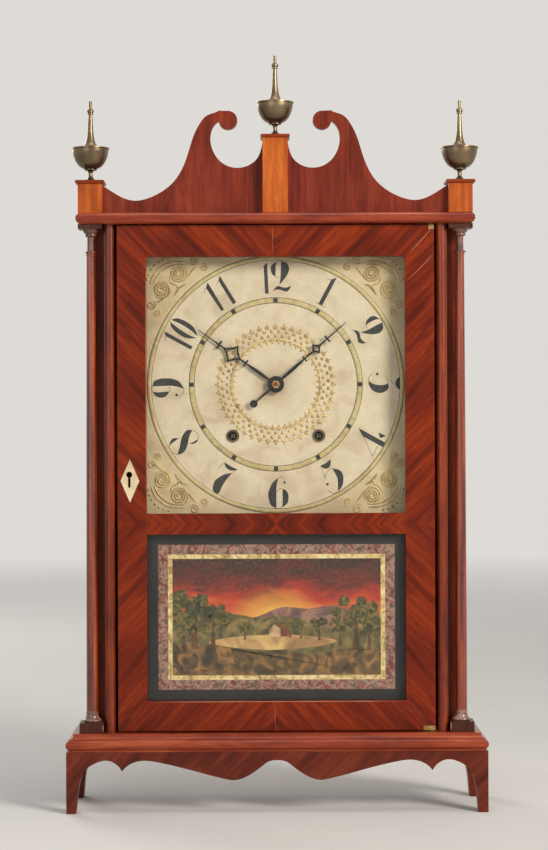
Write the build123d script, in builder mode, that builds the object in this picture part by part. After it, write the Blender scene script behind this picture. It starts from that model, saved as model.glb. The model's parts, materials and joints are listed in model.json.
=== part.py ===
from build123d import *
import math
import os

os.makedirs("parts", exist_ok=True)

# Frame: origin at the bottom centre, +Z up, the front faces -Y. All sizes are millimetres.

# Driving dimensions: base
base_width = 445.0
base_depth = 115.0
skirt_height = 64.3
moulding_height = 18.7
moulding_reach = 12.0
skirt_set_back = 0.6
skirt_board = 13.0
side_skirt_board = 14.6

# Driving dimensions: case, door and cornice
opening_height = 537.9
door_board = 17.0
door_front = 39.0
door_gap = 2.5
sill_gap = 1.3
head_gap = 1.2
stile_width = 30.9
top_rail_height = 33.3
middle_rail_height = 22.1
bottom_rail_height = 31.2
tablet_height = 176.7
bead_width = 11.5
bead_front = 38.5
side_board = 15.0
side_front = 14.0
back_board = 7.5
cornice_height = 11.6
cornice_set_in = 11.7
cornice_front = 50.0
cornice_round = 5.5

# Driving dimensions: pillars, plinths, scroll board and finials
base_margin = 13.75
pillar_gap = 1.25
pillar_setting = 31.25
block_side = 25.5
plinth_height = 10.7
abacus_height = 4.9
end_plinth_height = 31.1
centre_plinth_height = 79.3
centre_plinth_side = 26.7
cap_side = 31.0
cap_height = 3.8
scroll_board = 8.0
finial_height = 84.8
finial_rim_radius = 20.0

# Driving dimensions: glass, dial and hands
glass_sheet = 2.0
glass_lap = 5.0
glass_play = 0.5
lip_depth = 8.0
dial_height = 300.0
dial_lap = 12.9
dial_board = 6.0
dial_front = 16.0
dial_below_head = 169.6
winding_spread = 92.0
winding_drop = 54.9
collet_radius = 6.8
winding_hole_radius = 4.5
hour_hand_length = 101.4
minute_hand_length = 99.9
hand_thickness = 1.0
hub_radius = 8.9
hour_angle = 305.2
minute_angle = 48.7

# Driving dimensions: movement
plate_width = 216.0
plate_height = 211.0
plate_board = 6.0
plate_front = 8.0
plate_space = 29.0
plate_below_centre = 117.3
rail_board = 14.0
rail_height = 160.0
arbor_radius = 3.0
slim_arbor_radius = 2.2
pivot_radius = 1.5
centre_arbor_radius = 2.5
running_clearance = 0.05
end_shake = 0.3
wheel_board = 3.7
pinion_length = 4.6

# Driving dimensions: weights, cords and pulleys
drum_radius = 9.5
drum_length = 9.0
flange_radius = 14.0
cord_radius = 1.0
pulley_radius = 9.0
weight_radius = 19.0
weight_length = 130.0
weight_room = 9.0
weight_rest = 12.0

# Driving dimensions: pendulum, bell and hammer
pendulum_length = 250.0
bob_radius = 24.0
bell_radius = 36.0
bell_depth = 21.0
bell_wall = 1.5

# Places that follow from the sizes above
base_half = base_width / 2
front_y = -base_depth / 2
back_y = base_depth / 2
base_top = skirt_height + moulding_height
head_z = base_top + opening_height
cornice_top = head_z + cornice_height
pillar_x = base_half - base_margin - block_side / 2
bead_outer = pillar_x - block_side / 2 - pillar_gap
bead_inner = bead_outer - bead_width
door_half = bead_inner - door_gap
door_bottom = base_top + sill_gap
door_top = head_z - head_gap
door_back = -door_front + door_board
window_half = door_half - stile_width
tablet_low = door_bottom + bottom_rail_height
tablet_high = tablet_low + tablet_height
window_low = tablet_high + middle_rail_height
window_high = door_top - top_rail_height
case_half = bead_outer + side_board
backboard_front = back_y - back_board
cornice_half = base_half - cornice_set_in
dial_half = window_half + dial_lap
dial_z = head_z - dial_below_head
dial_back = -dial_front + dial_board
winding_x = winding_spread / 2
winding_z = dial_z - winding_drop
plate_low = dial_z - plate_below_centre
plate_back = plate_front + plate_board
rear_plate_front = plate_back + plate_space
rear_plate_back = rear_plate_front + plate_board
rail_inner = plate_width / 2
weight_x = bead_outer - weight_room - weight_radius


def facing(y):
    """The upright plane at depth y whose sketches grow towards the front."""
    return Plane.XZ.offset(-y)


def block(x0, x1, y0, y1, z0, z1, mode=Mode.ADD):
    """A rectangular piece between two corners."""
    with Locations(((x0 + x1) / 2, (y0 + y1) / 2, (z0 + z1) / 2)):
        Box(x1 - x0, y1 - y0, z1 - z0, mode=mode)


def rod(x, z, radius, y0, y1, mode=Mode.ADD):
    """A round piece or hole along the depth of the clock, from y0 back to y1."""
    with Locations(Location((x, (y0 + y1) / 2, z), (90, 0, 0))):
        Cylinder(radius, y1 - y0, mode=mode)


# Base: skirts with bracket feet, board with its glue blocks, and moulding

skirt_front = front_y + skirt_set_back
skirt_outer = base_half - skirt_set_back
skirt_inner = skirt_outer - side_skirt_board
foot_profile = [
    (10.6, 0),
    (12.7, 22),
    (15.2, 34.6),
    (20.8, 45.9),
    (31.2, 53.1),
    (44.0, 55.8),
    (51.7, 52.9),
    (59.3, 44.3),
]
foot_outline = [(-base_half + reach, z) for reach, z in foot_profile]
cusp_x, cusp_z = foot_outline[-1]
apron_outline = [
    (cusp_x, cusp_z),
    (0.961 * cusp_x, 50.7),
    (0.877 * cusp_x, 55.5),
    (0.779 * cusp_x, 54.2),
    (0.483 * cusp_x, 42.3),
    (0.291 * cusp_x, 34.8),
]
drop_outline = [
    apron_outline[-1],
    (0.197 * cusp_x, 38.6),
    (0.089 * cusp_x, 50.7),
    (0, 55.8),
]
side_foot_profile = [
    (15.5, 0),
    (17.0, 18),
    (21.5, 33),
    (31.5, 45),
    (45.5, 50.8),
]
side_foot_outline = [(front_y + reach, z) for reach, z in side_foot_profile] + [(0, 52)]


def front_arch():
    """The open space under the front skirt, drawn at the back of the base."""
    with BuildSketch(facing(back_y)) as arch:
        with BuildLine():
            Spline(*foot_outline)
            Spline(*apron_outline)
            Spline(*drop_outline, tangents=((1, 0), (1, 0)))
            Line(foot_outline[0], (foot_outline[0][0], -1))
            Line((foot_outline[0][0], -1), (0, -1))
            mirror(about=Plane.YZ)
        make_face()
    return arch.sketch


with BuildPart() as front_skirt:
    block(-skirt_inner, skirt_inner, skirt_front, skirt_front + skirt_board, 0, skirt_height)
    extrude(front_arch(), amount=base_depth, mode=Mode.SUBTRACT)
front_skirt.part.label = "front_skirt"
export_step(front_skirt.part, "parts/front_skirt.step")


with BuildPart() as side_skirts:
    block(skirt_inner, skirt_outer, skirt_front, back_y, 0, skirt_height)
    with BuildSketch(Plane.YZ):
        with BuildLine():
            Spline(*side_foot_outline)
            Line(side_foot_outline[0], (side_foot_outline[0][0], -1))
            Line((side_foot_outline[0][0], -1), (0, -1))
            mirror(about=Plane.YZ)
        make_face()
    extrude(amount=base_half, mode=Mode.SUBTRACT)
    extrude(front_arch(), amount=base_depth, mode=Mode.SUBTRACT)
    mirror(about=Plane.YZ)
side_skirts.part.label = "side_skirts"
export_step(side_skirts.part, "parts/side_skirts.step")

board_front = front_y + moulding_reach
board_half = base_half - moulding_reach

# Hinge sizes are needed by the base, the cornice and the door alike
hinge_x = door_half - 3.5
hinge_y = -door_front + 3.0
hinge_pin_radius = 1.5
hinge_plate = 1.0
hinge_pin_reach = 3.5
case_plate_width = 15.0
case_plate_depth = 10.0
case_plate_edge = door_half + 2.0


def hinge_recess(z_face, up):
    """A pocket for the case's hinge plate and the hole that its pin turns in."""
    z_floor = z_face + up * hinge_plate
    z_end = z_face + up * (hinge_plate + hinge_pin_reach)
    block(
        case_plate_edge - case_plate_width, case_plate_edge,
        hinge_y - case_plate_depth / 2, hinge_y + case_plate_depth / 2,
        min(z_face, z_floor), max(z_face, z_floor), mode=Mode.SUBTRACT,
    )
    with Locations((hinge_x, hinge_y, (z_face + z_end) / 2)):
        Cylinder(hinge_pin_radius + 0.3, abs(z_end - z_face), mode=Mode.SUBTRACT)


glue_block_side = 20.0
glue_block_low = 56.5
with BuildPart() as base_board:
    block(-board_half, board_half, board_front, back_y, skirt_height, base_top)
    for x0 in (-skirt_inner, skirt_inner - glue_block_side):
        for y0 in (skirt_front + skirt_board, back_y - glue_block_side):
            block(x0, x0 + glue_block_side, y0, y0 + glue_block_side, glue_block_low, skirt_height)
    hinge_recess(base_top, -1)
base_board.part.label = "base_board"
export_step(base_board.part, "parts/base_board.step")

fillet_low = 2.1
fillet_reach = 8.6
ovolo_height = 10.2
cove_foot = 0.9
cove_height = 4.2
top_reach = 4.5
ovolo_low = skirt_height + fillet_low
ovolo_high = ovolo_low + ovolo_height
cove_low = ovolo_high + cove_foot
cove_high = cove_low + cove_height
with BuildPart() as base_moulding:
    with BuildLine() as moulding_run:
        Polyline(
            (board_half, back_y, 0),
            (board_half, board_front, 0),
            (-board_half, board_front, 0),
            (-board_half, back_y, 0),
        )
    with BuildSketch(Plane(origin=(board_half, back_y, 0), x_dir=(1, 0, 0), z_dir=(0, -1, 0))):
        with BuildLine():
            Polyline(
                (0, base_top),
                (0, skirt_height),
                (fillet_reach, skirt_height),
                (fillet_reach, ovolo_low),
            )
            ThreePointArc(
                (fillet_reach, ovolo_low),
                (moulding_reach, (ovolo_low + ovolo_high) / 2),
                (fillet_reach, ovolo_high),
            )
            Line((fillet_reach, ovolo_high), (fillet_reach, cove_low))
            RadiusArc((fillet_reach, cove_low), (top_reach, cove_high), cove_height + 0.2)
            Polyline((top_reach, cove_high), (top_reach, base_top), (0, base_top))
        make_face()
    sweep(path=moulding_run.wire(), transition=Transition.RIGHT)
base_moulding.part.label = "base_moulding"
export_step(base_moulding.part, "parts/base_moulding.step")

# Case: side boards, beads, backboard and cornice

with BuildPart() as case_sides:
    block(bead_outer, case_half, -side_front, backboard_front, base_top, head_z)
    mirror(about=Plane.YZ)
case_sides.part.label = "case_sides"
export_step(case_sides.part, "parts/case_sides.step")

# Lock sizes are needed by the bead, the stile and the lock alike
key_x = -door_half + 12.4
key_z = 355.8
keyhole_radius = 3.2
keyhole_slot = 2.6
keyhole_drop = 13.6
lock_half_height = 22.0
lock_width = 24.5
lock_depth = 7.0
bolt_low = key_z + 6.2
bolt_high = key_z + 12.2
bolt_front = door_back - 5.0
bolt_back = door_back - 2.0
bolt_length = 17.8
bolt_travel = 6.0
bolt_play = 0.3
bead_back = -10.0


def bead_section():
    """The section of a strip beside the door, its front worked to a half round."""
    radius = bead_width / 2
    with BuildSketch(Plane.XY.offset(base_top)) as section:
        with BuildLine():
            ThreePointArc(
                (bead_inner, -bead_front + radius),
                (bead_inner + radius, -bead_front),
                (bead_outer, -bead_front + radius),
            )
            Polyline(
                (bead_outer, -bead_front + radius),
                (bead_outer, bead_back),
                (bead_inner, bead_back),
                (bead_inner, -bead_front + radius),
            )
        make_face()
    return section.sketch


with BuildPart() as bead_strips:
    extrude(bead_section(), amount=opening_height)
    mirror(about=Plane.YZ)
    block(
        -bead_inner - bolt_travel, -bead_inner, bolt_front - 1, bolt_back + 1,
        bolt_low - 1.5, bolt_high + 1.5, mode=Mode.SUBTRACT,
    )
bead_strips.part.label = "bead_strips"
export_step(bead_strips.part, "parts/bead_strips.step")

with BuildPart() as backboard:
    block(-case_half, case_half, backboard_front, back_y, base_top, head_z)
backboard.part.label = "backboard"
export_step(backboard.part, "parts/backboard.step")

with BuildPart() as cornice:
    block(-cornice_half, cornice_half, -cornice_front, back_y, head_z, cornice_top)
    end_edges = cornice.edges().filter_by(Axis.Y)
    front_edges = cornice.edges().filter_by(Axis.X).group_by(Axis.Y)[0]
    fillet(end_edges + front_edges, cornice_round)
    hinge_recess(head_z, 1)
cornice.part.label = "cornice"
export_step(cornice.part, "parts/cornice.step")

# Pillars, blocks, scroll boards, plinths and finials

pillar_low = base_top + plinth_height
pillar_high = head_z - abacus_height
collar_radius = 9.8
shaft_foot_radius = 6.15
shaft_top_radius = 4.6
astragal_radius = 6.3
neck_radius = 3.8
collar_height = 10.3
neck_high = pillar_high - 8.0
neck_low = pillar_high - 23.2
shaft_high = neck_low - 5.2

with BuildPart() as pillars:
    for x in (-pillar_x, pillar_x):
        with BuildSketch(Plane(origin=(x, -pillar_setting, 0), x_dir=(1, 0, 0), z_dir=(0, -1, 0))):
            with BuildLine():
                Polyline(
                    (0, pillar_low),
                    (collar_radius - 0.9, pillar_low),
                )
                ThreePointArc(
                    (collar_radius - 0.9, pillar_low),
                    (collar_radius, pillar_low + 1.6),
                    (collar_radius - 0.9, pillar_low + 3.2),
                )
                Line((collar_radius - 0.9, pillar_low + 3.2), (collar_radius - 1.6, pillar_low + 3.2))
                RadiusArc(
                    (collar_radius - 1.6, pillar_low + 3.2),
                    (shaft_foot_radius + 0.5, pillar_low + collar_height - 1.2),
                    7.0,
                )
                Polyline(
                    (shaft_foot_radius + 0.5, pillar_low + collar_height - 1.2),
                    (shaft_foot_radius + 0.5, pillar_low + collar_height),
                    (shaft_foot_radius, pillar_low + collar_height),
                )
                ThreePointArc(
                    (shaft_foot_radius, pillar_low + collar_height),
                    ((shaft_foot_radius + shaft_top_radius) / 2 + 0.25, (pillar_low + shaft_high) / 2),
                    (shaft_top_radius, shaft_high),
                )
                Polyline(
                    (shaft_top_radius, shaft_high),
                    (shaft_top_radius + 0.35, shaft_high + 0.6),
                    (shaft_top_radius + 0.35, neck_low - 2.0),
                    (astragal_radius - 0.5, neck_low - 2.0),
                )
                ThreePointArc(
                    (astragal_radius - 0.5, neck_low - 2.0),
                    (astragal_radius, neck_low - 1.0),
                    (astragal_radius - 0.5, neck_low),
                )
                Polyline(
                    (astragal_radius - 0.5, neck_low),
                    (neck_radius, neck_low),
                    (neck_radius, neck_high - 0.8),
                    (neck_radius + 0.7, neck_high),
                )
                ThreePointArc(
                    (neck_radius + 0.7, neck_high),
                    (astragal_radius, neck_high + 1.9),
                    (astragal_radius - 0.4, neck_high + 3.2),
                )
                RadiusArc(
                    (astragal_radius - 0.4, neck_high + 3.2),
                    (astragal_radius + 2.6, pillar_high),
                    -6.0,
                )
                Polyline((astragal_radius + 2.6, pillar_high), (0, pillar_high), (0, pillar_low))
            make_face()
        revolve(axis=Axis((x, -pillar_setting, 0), (0, 0, 1)))
pillars.part.label = "pillars"
export_step(pillars.part, "parts/pillars.step")


def square_block(x, side, z0, z1):
    """A square block centred on a pillar or finial axis."""
    block(
        x - side / 2, x + side / 2, -pillar_setting - side / 2, -pillar_setting + side / 2, z0, z1,
    )


with BuildPart() as pillar_blocks:
    for x in (-pillar_x, pillar_x):
        square_block(x, block_side, base_top, pillar_low)
        square_block(x, block_side, pillar_high, head_z)
pillar_blocks.part.label = "pillar_blocks"
export_step(pillar_blocks.part, "parts/pillar_blocks.step")

end_plinth_top = cornice_top + end_plinth_height
centre_plinth_top = cornice_top + centre_plinth_height
end_cap_top = end_plinth_top + cap_height
centre_cap_top = centre_plinth_top + cap_height

with BuildPart() as top_plinths:
    square_block(-pillar_x, block_side, cornice_top, end_plinth_top)
    square_block(0, centre_plinth_side, cornice_top, centre_plinth_top)
    square_block(pillar_x, block_side, cornice_top, end_plinth_top)
top_plinths.part.label = "top_plinths"
export_step(top_plinths.part, "parts/top_plinths.step")

with BuildPart() as plinth_caps:
    square_block(-pillar_x, cap_side, end_plinth_top, end_cap_top)
    square_block(pillar_x, cap_side, end_plinth_top, end_cap_top)
    square_block(0, cap_side, centre_plinth_top, centre_cap_top)
    level_edges = plinth_caps.edges().filter_by(Axis.X) + plinth_caps.edges().filter_by(Axis.Y)
    fillet(level_edges, cap_height * 0.42)
plinth_caps.part.label = "plinth_caps"
export_step(plinth_caps.part, "parts/plinth_caps.step")

scroll_start = (-pillar_x + block_side / 2, 30.0)
scroll_sweep = [
    (-147.4, 13.8),
    (-126.3, 20.0),
    (-106.0, 35.8),
    (-92.9, 62.2),
    (-85.2, 85.4),
    (-78.4, 97.6),
    (-70.5, 104.8),
    (-60.5, 108.3),
]
rosette_x = -49.9
rosette_rise = 98.9
rosette_radius = 9.9
throat_sweep = [
    (-66.5, 90.3),
    (-68.7, 79.7),
    (-64.7, 63.9),
    (-55.9, 53.4),
    (-41.8, 48.4),
    (-27.8, 51.2),
    (-19.0, 58.5),
    (-14.9, 68.0),
]
throat_end = (-centre_plinth_side / 2, centre_plinth_height - 3.0)


def on_rosette(degrees):
    """A point on the rim of the scroll's rosette."""
    turn = math.radians(degrees)
    return (rosette_x + rosette_radius * math.cos(turn), rosette_rise + rosette_radius * math.sin(turn))


def swan_neck(side):
    """One half of the scroll board, from the end plinth to the centre plinth."""
    with BuildPart() as neck:
        plane = Plane(
            origin=(0, -pillar_setting + scroll_board / 2, cornice_top), x_dir=(1, 0, 0), z_dir=(0, -1, 0),
        )
        with BuildSketch(plane):
            with BuildLine():
                Spline(scroll_start, *scroll_sweep, on_rosette(92), tangents=((0.85, -0.55), (1, -0.03)))
                ThreePointArc(on_rosette(92), on_rosette(-45), on_rosette(-174))
                Spline(on_rosette(-174), *throat_sweep, throat_end)
                Polyline(
                    throat_end,
                    (throat_end[0], 0),
                    (scroll_start[0], 0),
                    scroll_start,
                )
            make_face()
        extrude(amount=scroll_board)
        if side > 0:
            mirror(about=Plane.YZ, mode=Mode.REPLACE)
    return neck


scroll_left = swan_neck(-1)
scroll_left.part.label = "scroll_left"
export_step(scroll_left.part, "parts/scroll_left.step")

scroll_right = swan_neck(1)
scroll_right.part.label = "scroll_right"
export_step(scroll_right.part, "parts/scroll_right.step")


finial_places = [(-pillar_x, end_cap_top), (0, centre_cap_top), (pillar_x, end_cap_top)]
with BuildPart() as finials:
    for x, z in finial_places:
        with BuildSketch(Plane(origin=(x, -pillar_setting, z), x_dir=(1, 0, 0), z_dir=(0, -1, 0))):
            with BuildLine():
                Polyline((0, 0), (8.2, 0), (8.2, 0.7))
                RadiusArc((8.2, 0.7), (2.3, 5.4), 6.0)
                Line((2.3, 5.4), (2.3, 8.2))
                ThreePointArc((2.3, 8.2), (3.2, 10.5), (6.4, 11.4))
                Polyline((6.4, 11.4), (6.9, 11.9), (6.9, 12.5), (6.2, 12.9))
                Spline((6.2, 12.9), (10.6, 14.8), (14.4, 18.6), (17.4, 24.6), (18.8, 30.0), (19.1, 33.6))
                Polyline((19.1, 33.6), (finial_rim_radius, 34.0), (finial_rim_radius, 35.2), (11.8, 35.5))
                RadiusArc((11.8, 35.5), (5.2, 40.8), 9.0)
                Spline((5.2, 40.8), (4.1, 45.0), (2.9, 55.0), (2.0, 70.6))
                Polyline((2.0, 70.6), (3.1, 71.0), (3.1, 72.6), (2.3, 73.0), (3.8, 73.5))
                Polyline((3.8, 73.5), (3.8, 75.0), (2.2, 76.6), (1.6, 77.4), (1.6, finial_height))
                Polyline((1.6, finial_height), (0, finial_height), (0, 0))
            make_face()
        revolve(axis=Axis((x, -pillar_setting, 0), (0, 0, 1)))
finials.part.label = "finials"
export_step(finials.part, "parts/finials.step")

# Door: stiles and rails rebated for the glass, hinges, lock and escutcheon

lip_back = -door_front + lip_depth
glass_half = window_half + glass_lap - glass_play
leaf_depth = 6.3
leaf_front = -door_front - 0.3
leaf_height = 4.5
low_leaf_width = 12.8
top_leaf_width = 6.0


def glass_rebate(z_low, z_high):
    """The space behind the lip that takes one pane."""
    reach = window_half + glass_lap
    block(-reach, reach, lip_back, door_back, z_low - glass_lap, z_high + glass_lap, mode=Mode.SUBTRACT)


with BuildPart() as door_rails:
    block(-window_half, window_half, -door_front, door_back, door_bottom, tablet_low)
    block(-window_half, window_half, -door_front, door_back, tablet_high, window_low)
    block(-window_half, window_half, -door_front, door_back, window_high, door_top)
    glass_rebate(tablet_low, tablet_high)
    glass_rebate(window_low, window_high)
door_rails.part.label = "door_rails"
export_step(door_rails.part, "parts/door_rails.step")

escutcheon_x = key_x + 0.7
escutcheon_z = 349.2
escutcheon_half_width = 9.95
escutcheon_half_height = 22.95
escutcheon_sheet = 1.2
escutcheon_proud = 0.4


def diamond(mode):
    """Adds or cuts the escutcheon's diamond, let into the front of the stile."""
    with BuildSketch(facing(-door_front + escutcheon_sheet - escutcheon_proud)) as outline:
        with Locations((escutcheon_x, escutcheon_z)):
            Polygon(
                (-escutcheon_half_width, 0), (0, -escutcheon_half_height),
                (escutcheon_half_width, 0), (0, escutcheon_half_height), align=None,
            )
    extrude(outline.sketch, amount=escutcheon_sheet, mode=mode)


def keyhole(y_front, y_back):
    """A round hole with a slot below it, cut through everything between two depths."""
    with BuildSketch(facing(y_back)) as outline:
        with Locations((key_x, key_z)):
            Circle(keyhole_radius)
            Rectangle(keyhole_slot, keyhole_drop, align=(Align.CENTER, Align.MAX))
    extrude(outline.sketch, amount=y_back - y_front, mode=Mode.SUBTRACT)


with BuildPart() as door_stiles:
    block(window_half, door_half, -door_front, door_back, door_bottom, door_top)
    block(-door_half, -window_half, -door_front, door_back, door_bottom, door_top)
    glass_rebate(tablet_low, tablet_high)
    glass_rebate(window_low, window_high)
    block(
        door_half - low_leaf_width, door_half, -door_front, leaf_front + leaf_depth,
        door_bottom, door_bottom + leaf_height, mode=Mode.SUBTRACT,
    )
    block(
        door_half - top_leaf_width, door_half, -door_front, leaf_front + leaf_depth,
        door_top - leaf_height, door_top, mode=Mode.SUBTRACT,
    )
    block(
        -door_half, -door_half + lock_width, door_back - lock_depth, door_back,
        key_z - lock_half_height, key_z + lock_half_height, mode=Mode.SUBTRACT,
    )
    diamond(Mode.SUBTRACT)
    keyhole(-door_front, door_back)
door_stiles.part.label = "door_stiles"
export_step(door_stiles.part, "parts/door_stiles.step")

with BuildPart() as escutcheon:
    diamond(Mode.ADD)
    keyhole(-door_front - escutcheon_proud, door_back)
escutcheon.part.label = "escutcheon"
export_step(escutcheon.part, "parts/escutcheon.step")

with BuildPart() as lock_case:
    block(
        -door_half, -door_half + lock_width, door_back - lock_depth, door_back,
        key_z - lock_half_height, key_z + lock_half_height,
    )
    block(
        -door_half, -door_half + bolt_length + 2, bolt_front - bolt_play, bolt_back + bolt_play,
        bolt_low - bolt_play, bolt_high + bolt_play, mode=Mode.SUBTRACT,
    )
    keyhole(-door_front, door_back)
lock_case.part.label = "lock_case"
export_step(lock_case.part, "parts/lock_case.step")

with BuildPart() as lock_bolt:
    block(-door_half + 0.2, -door_half + bolt_length, bolt_front, bolt_back, bolt_low, bolt_high)
lock_bolt.part.label = "lock_bolt"
export_step(lock_bolt.part, "parts/lock_bolt.step")

with BuildPart() as door_hinge_leaves:
    block(
        door_half - low_leaf_width, door_half, leaf_front, leaf_front + leaf_depth,
        door_bottom, door_bottom + leaf_height,
    )
    block(
        door_half - top_leaf_width, door_half, leaf_front, leaf_front + leaf_depth,
        door_top - leaf_height, door_top,
    )
    with Locations((hinge_x, hinge_y, door_bottom)):
        Cylinder(
            hinge_pin_radius, sill_gap + hinge_pin_reach, align=(Align.CENTER, Align.CENTER, Align.MAX),
        )
    with Locations((hinge_x, hinge_y, door_top)):
        Cylinder(
            hinge_pin_radius, head_gap + hinge_pin_reach, align=(Align.CENTER, Align.CENTER, Align.MIN),
        )
door_hinge_leaves.part.label = "door_hinge_leaves"
export_step(door_hinge_leaves.part, "parts/door_hinge_leaves.step")

with BuildPart() as case_hinge_plates:
    for z_low in (base_top - hinge_plate, head_z):
        block(
            case_plate_edge - case_plate_width, case_plate_edge,
            hinge_y - case_plate_depth / 2, hinge_y + case_plate_depth / 2, z_low, z_low + hinge_plate,
        )
        with Locations((hinge_x, hinge_y, z_low + hinge_plate / 2)):
            Cylinder(hinge_pin_radius + running_clearance, 2 * hinge_plate, mode=Mode.SUBTRACT)
case_hinge_plates.part.label = "case_hinge_plates"
export_step(case_hinge_plates.part, "parts/case_hinge_plates.step")

with BuildPart() as dial_glass:
    block(
        -glass_half, glass_half, lip_back, lip_back + glass_sheet,
        window_low - glass_lap + glass_play, window_high + glass_lap - glass_play,
    )
dial_glass.part.label = "dial_glass"
export_step(dial_glass.part, "parts/dial_glass.step")

with BuildPart() as tablet_glass:
    block(
        -glass_half, glass_half, lip_back, lip_back + glass_sheet,
        tablet_low - glass_lap + glass_play, tablet_high + glass_lap - glass_play,
    )
tablet_glass.part.label = "tablet_glass"
export_step(tablet_glass.part, "parts/tablet_glass.step")

# Dial, its cleats, collets and turn buttons

pipe_radius = 4.0
centre_hole_radius = 5.0
collet_tube_radius = 5.8
collet_flange = 1.2
cleat_overlap = 6.0
cleat_board = 6.0
button_x = dial_half + 7.0
button_screw_radius = 1.5
button_boss_radius = 4.0
button_play = 0.3
button_board = 2.6

with BuildPart() as dial:
    block(
        -dial_half, dial_half, -dial_front, dial_back,
        dial_z - dial_height / 2, dial_z + dial_height / 2,
    )
    rod(0, dial_z, centre_hole_radius, -dial_front, dial_back, mode=Mode.SUBTRACT)
    for x in (-winding_x, winding_x):
        rod(x, winding_z, collet_tube_radius + 0.1, -dial_front, dial_back, mode=Mode.SUBTRACT)
dial.part.label = "dial"
export_step(dial.part, "parts/dial.step")

button_back = -dial_front - button_play
button_front = button_back - button_board
with BuildPart() as dial_fittings:
    for x in (-winding_x, winding_x):
        rod(x, winding_z, collet_radius, -dial_front - collet_flange, -dial_front)
        rod(x, winding_z, collet_tube_radius, -dial_front, dial_back)
        rod(x, winding_z, winding_hole_radius, -dial_front - collet_flange, dial_back, mode=Mode.SUBTRACT)
    for x in (-button_x, button_x):
        rod(x, dial_z, button_screw_radius, button_front - 0.1, dial_back)
        rod(x, dial_z, 2 * button_screw_radius, button_front - 1.3, button_front - 0.1)
dial_fittings.part.label = "dial_fittings"
export_step(dial_fittings.part, "parts/dial_fittings.step")

with BuildPart() as dial_cleats:
    for x0, x1 in ((-bead_outer, -dial_half + cleat_overlap), (dial_half - cleat_overlap, bead_outer)):
        block(
            x0, x1, dial_back, dial_back + cleat_board,
            dial_z - dial_height / 2, dial_z + dial_height / 2,
        )
dial_cleats.part.label = "dial_cleats"
export_step(dial_cleats.part, "parts/dial_cleats.step")


def turn_button(side):
    """A wooden button that turns over the dial's edge, with a boss down to the cleat."""
    with BuildPart() as button:
        rod(side * button_x, dial_z, button_boss_radius, button_back, dial_back - button_play)
        inner = side * (button_x - 14)
        outer = side * (button_x + 10)
        block(
            min(inner, outer), max(inner, outer), button_front, button_back,
            dial_z - button_boss_radius, dial_z + button_boss_radius,
        )
        fillet(button.edges().filter_by(Axis.Y).filter_by(GeomType.LINE), 3.5)
        rod(
            side * button_x, dial_z, button_screw_radius + running_clearance,
            button_front, dial_back, mode=Mode.SUBTRACT,
        )
    return button


turn_button_left = turn_button(-1)
turn_button_left.part.label = "turn_button_left"
export_step(turn_button_left.part, "parts/turn_button_left.step")

turn_button_right = turn_button(1)
turn_button_right.part.label = "turn_button_right"
export_step(turn_button_right.part, "parts/turn_button_right.step")

# Hands

diamond_line = 1.5


def concave_diamond(low, middle, high, half, sag):
    """The edges of a diamond with hollow sides, standing on the hand's axis."""
    corners = [(0, low), (half, middle), (0, high), (-half, middle)]
    with BuildLine() as sides:
        for start, end in zip(corners, corners[1:] + corners[:1]):
            mid_x = (start[0] + end[0]) / 2
            mid_y = (start[1] + end[1]) / 2
            pull_x = -mid_x * sag / half
            pull_y = (middle - mid_y) * sag / half
            ThreePointArc(start, (mid_x + pull_x, mid_y + pull_y), end)
    return sides.edges()


def hand(plane, length, inner_cross, outer_cross, arm, low, middle, high, half, leaf_at, leaf_width):
    """The outline of one hand, pointing up from the dial's centre."""
    line = 1.9
    hole_half = half - 2.3 * diamond_line
    hole_low = low + 2.8 * diamond_line
    hole_high = high - 2.8 * diamond_line
    with BuildSketch(plane) as shape:
        with BuildLine():
            Spline((-1.0, hub_radius - 1), (-leaf_width / 2, leaf_at), (-0.6, inner_cross))
            Line((-0.6, inner_cross), (0.6, inner_cross))
            Spline((0.6, inner_cross), (leaf_width / 2, leaf_at), (1.0, hub_radius - 1))
            Line((1.0, hub_radius - 1), (-1.0, hub_radius - 1))
        make_face()
        with Locations((0, inner_cross)):
            Rectangle(2 * arm, line)
        with Locations((0, (inner_cross + low + 2) / 2)):
            Rectangle(line, low + 2 - inner_cross)
        make_face(concave_diamond(low, middle, high, half, half * 0.2))
        make_face(
            concave_diamond(hole_low, middle, hole_high, hole_half, hole_half * 0.2), mode=Mode.SUBTRACT,
        )
        with BuildLine():
            Polyline(
                (-line / 2, high - 2), (line / 2, high - 2), (0.4, length), (-0.4, length), close=True,
            )
        make_face()
        with Locations((0, outer_cross)):
            Rectangle(2 * arm, line)
        with Locations((-arm, outer_cross), (arm, outer_cross)):
            Circle(1.1)
        Circle(hub_radius)
    return shape.sketch


def hand_plane(y, clock_angle):
    """The plane of a hand whose tip points to a clock angle."""
    turn = math.radians(clock_angle)
    return Plane(
        origin=(0, y, dial_z), x_dir=(math.cos(turn), 0, -math.sin(turn)), z_dir=(0, -1, 0),
    )


nut_height = 2.4
nut_radius = 4.4
hour_hand_back = -dial_front - 2.6
minute_hand_back = hour_hand_back - 2.4
minute_hand_front = minute_hand_back - hand_thickness
arbor_nose = minute_hand_front - nut_height - 0.6
pipe_play = 0.05

with BuildPart() as hour_hand:
    hour_outline = hand(
        hand_plane(hour_hand_back, hour_angle),
        hour_hand_length, 39.2, 73.8, 4.0, 44.2, 56.3, 70.2, 11.4, 18.0, 3.5,
    )
    extrude(hour_outline, amount=hand_thickness)
    rod(0, dial_z, pipe_radius + pipe_play, minute_hand_front, -dial_front, mode=Mode.SUBTRACT)
hour_hand.part.label = "hour_hand"
export_step(hour_hand.part, "parts/hour_hand.step")

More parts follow.
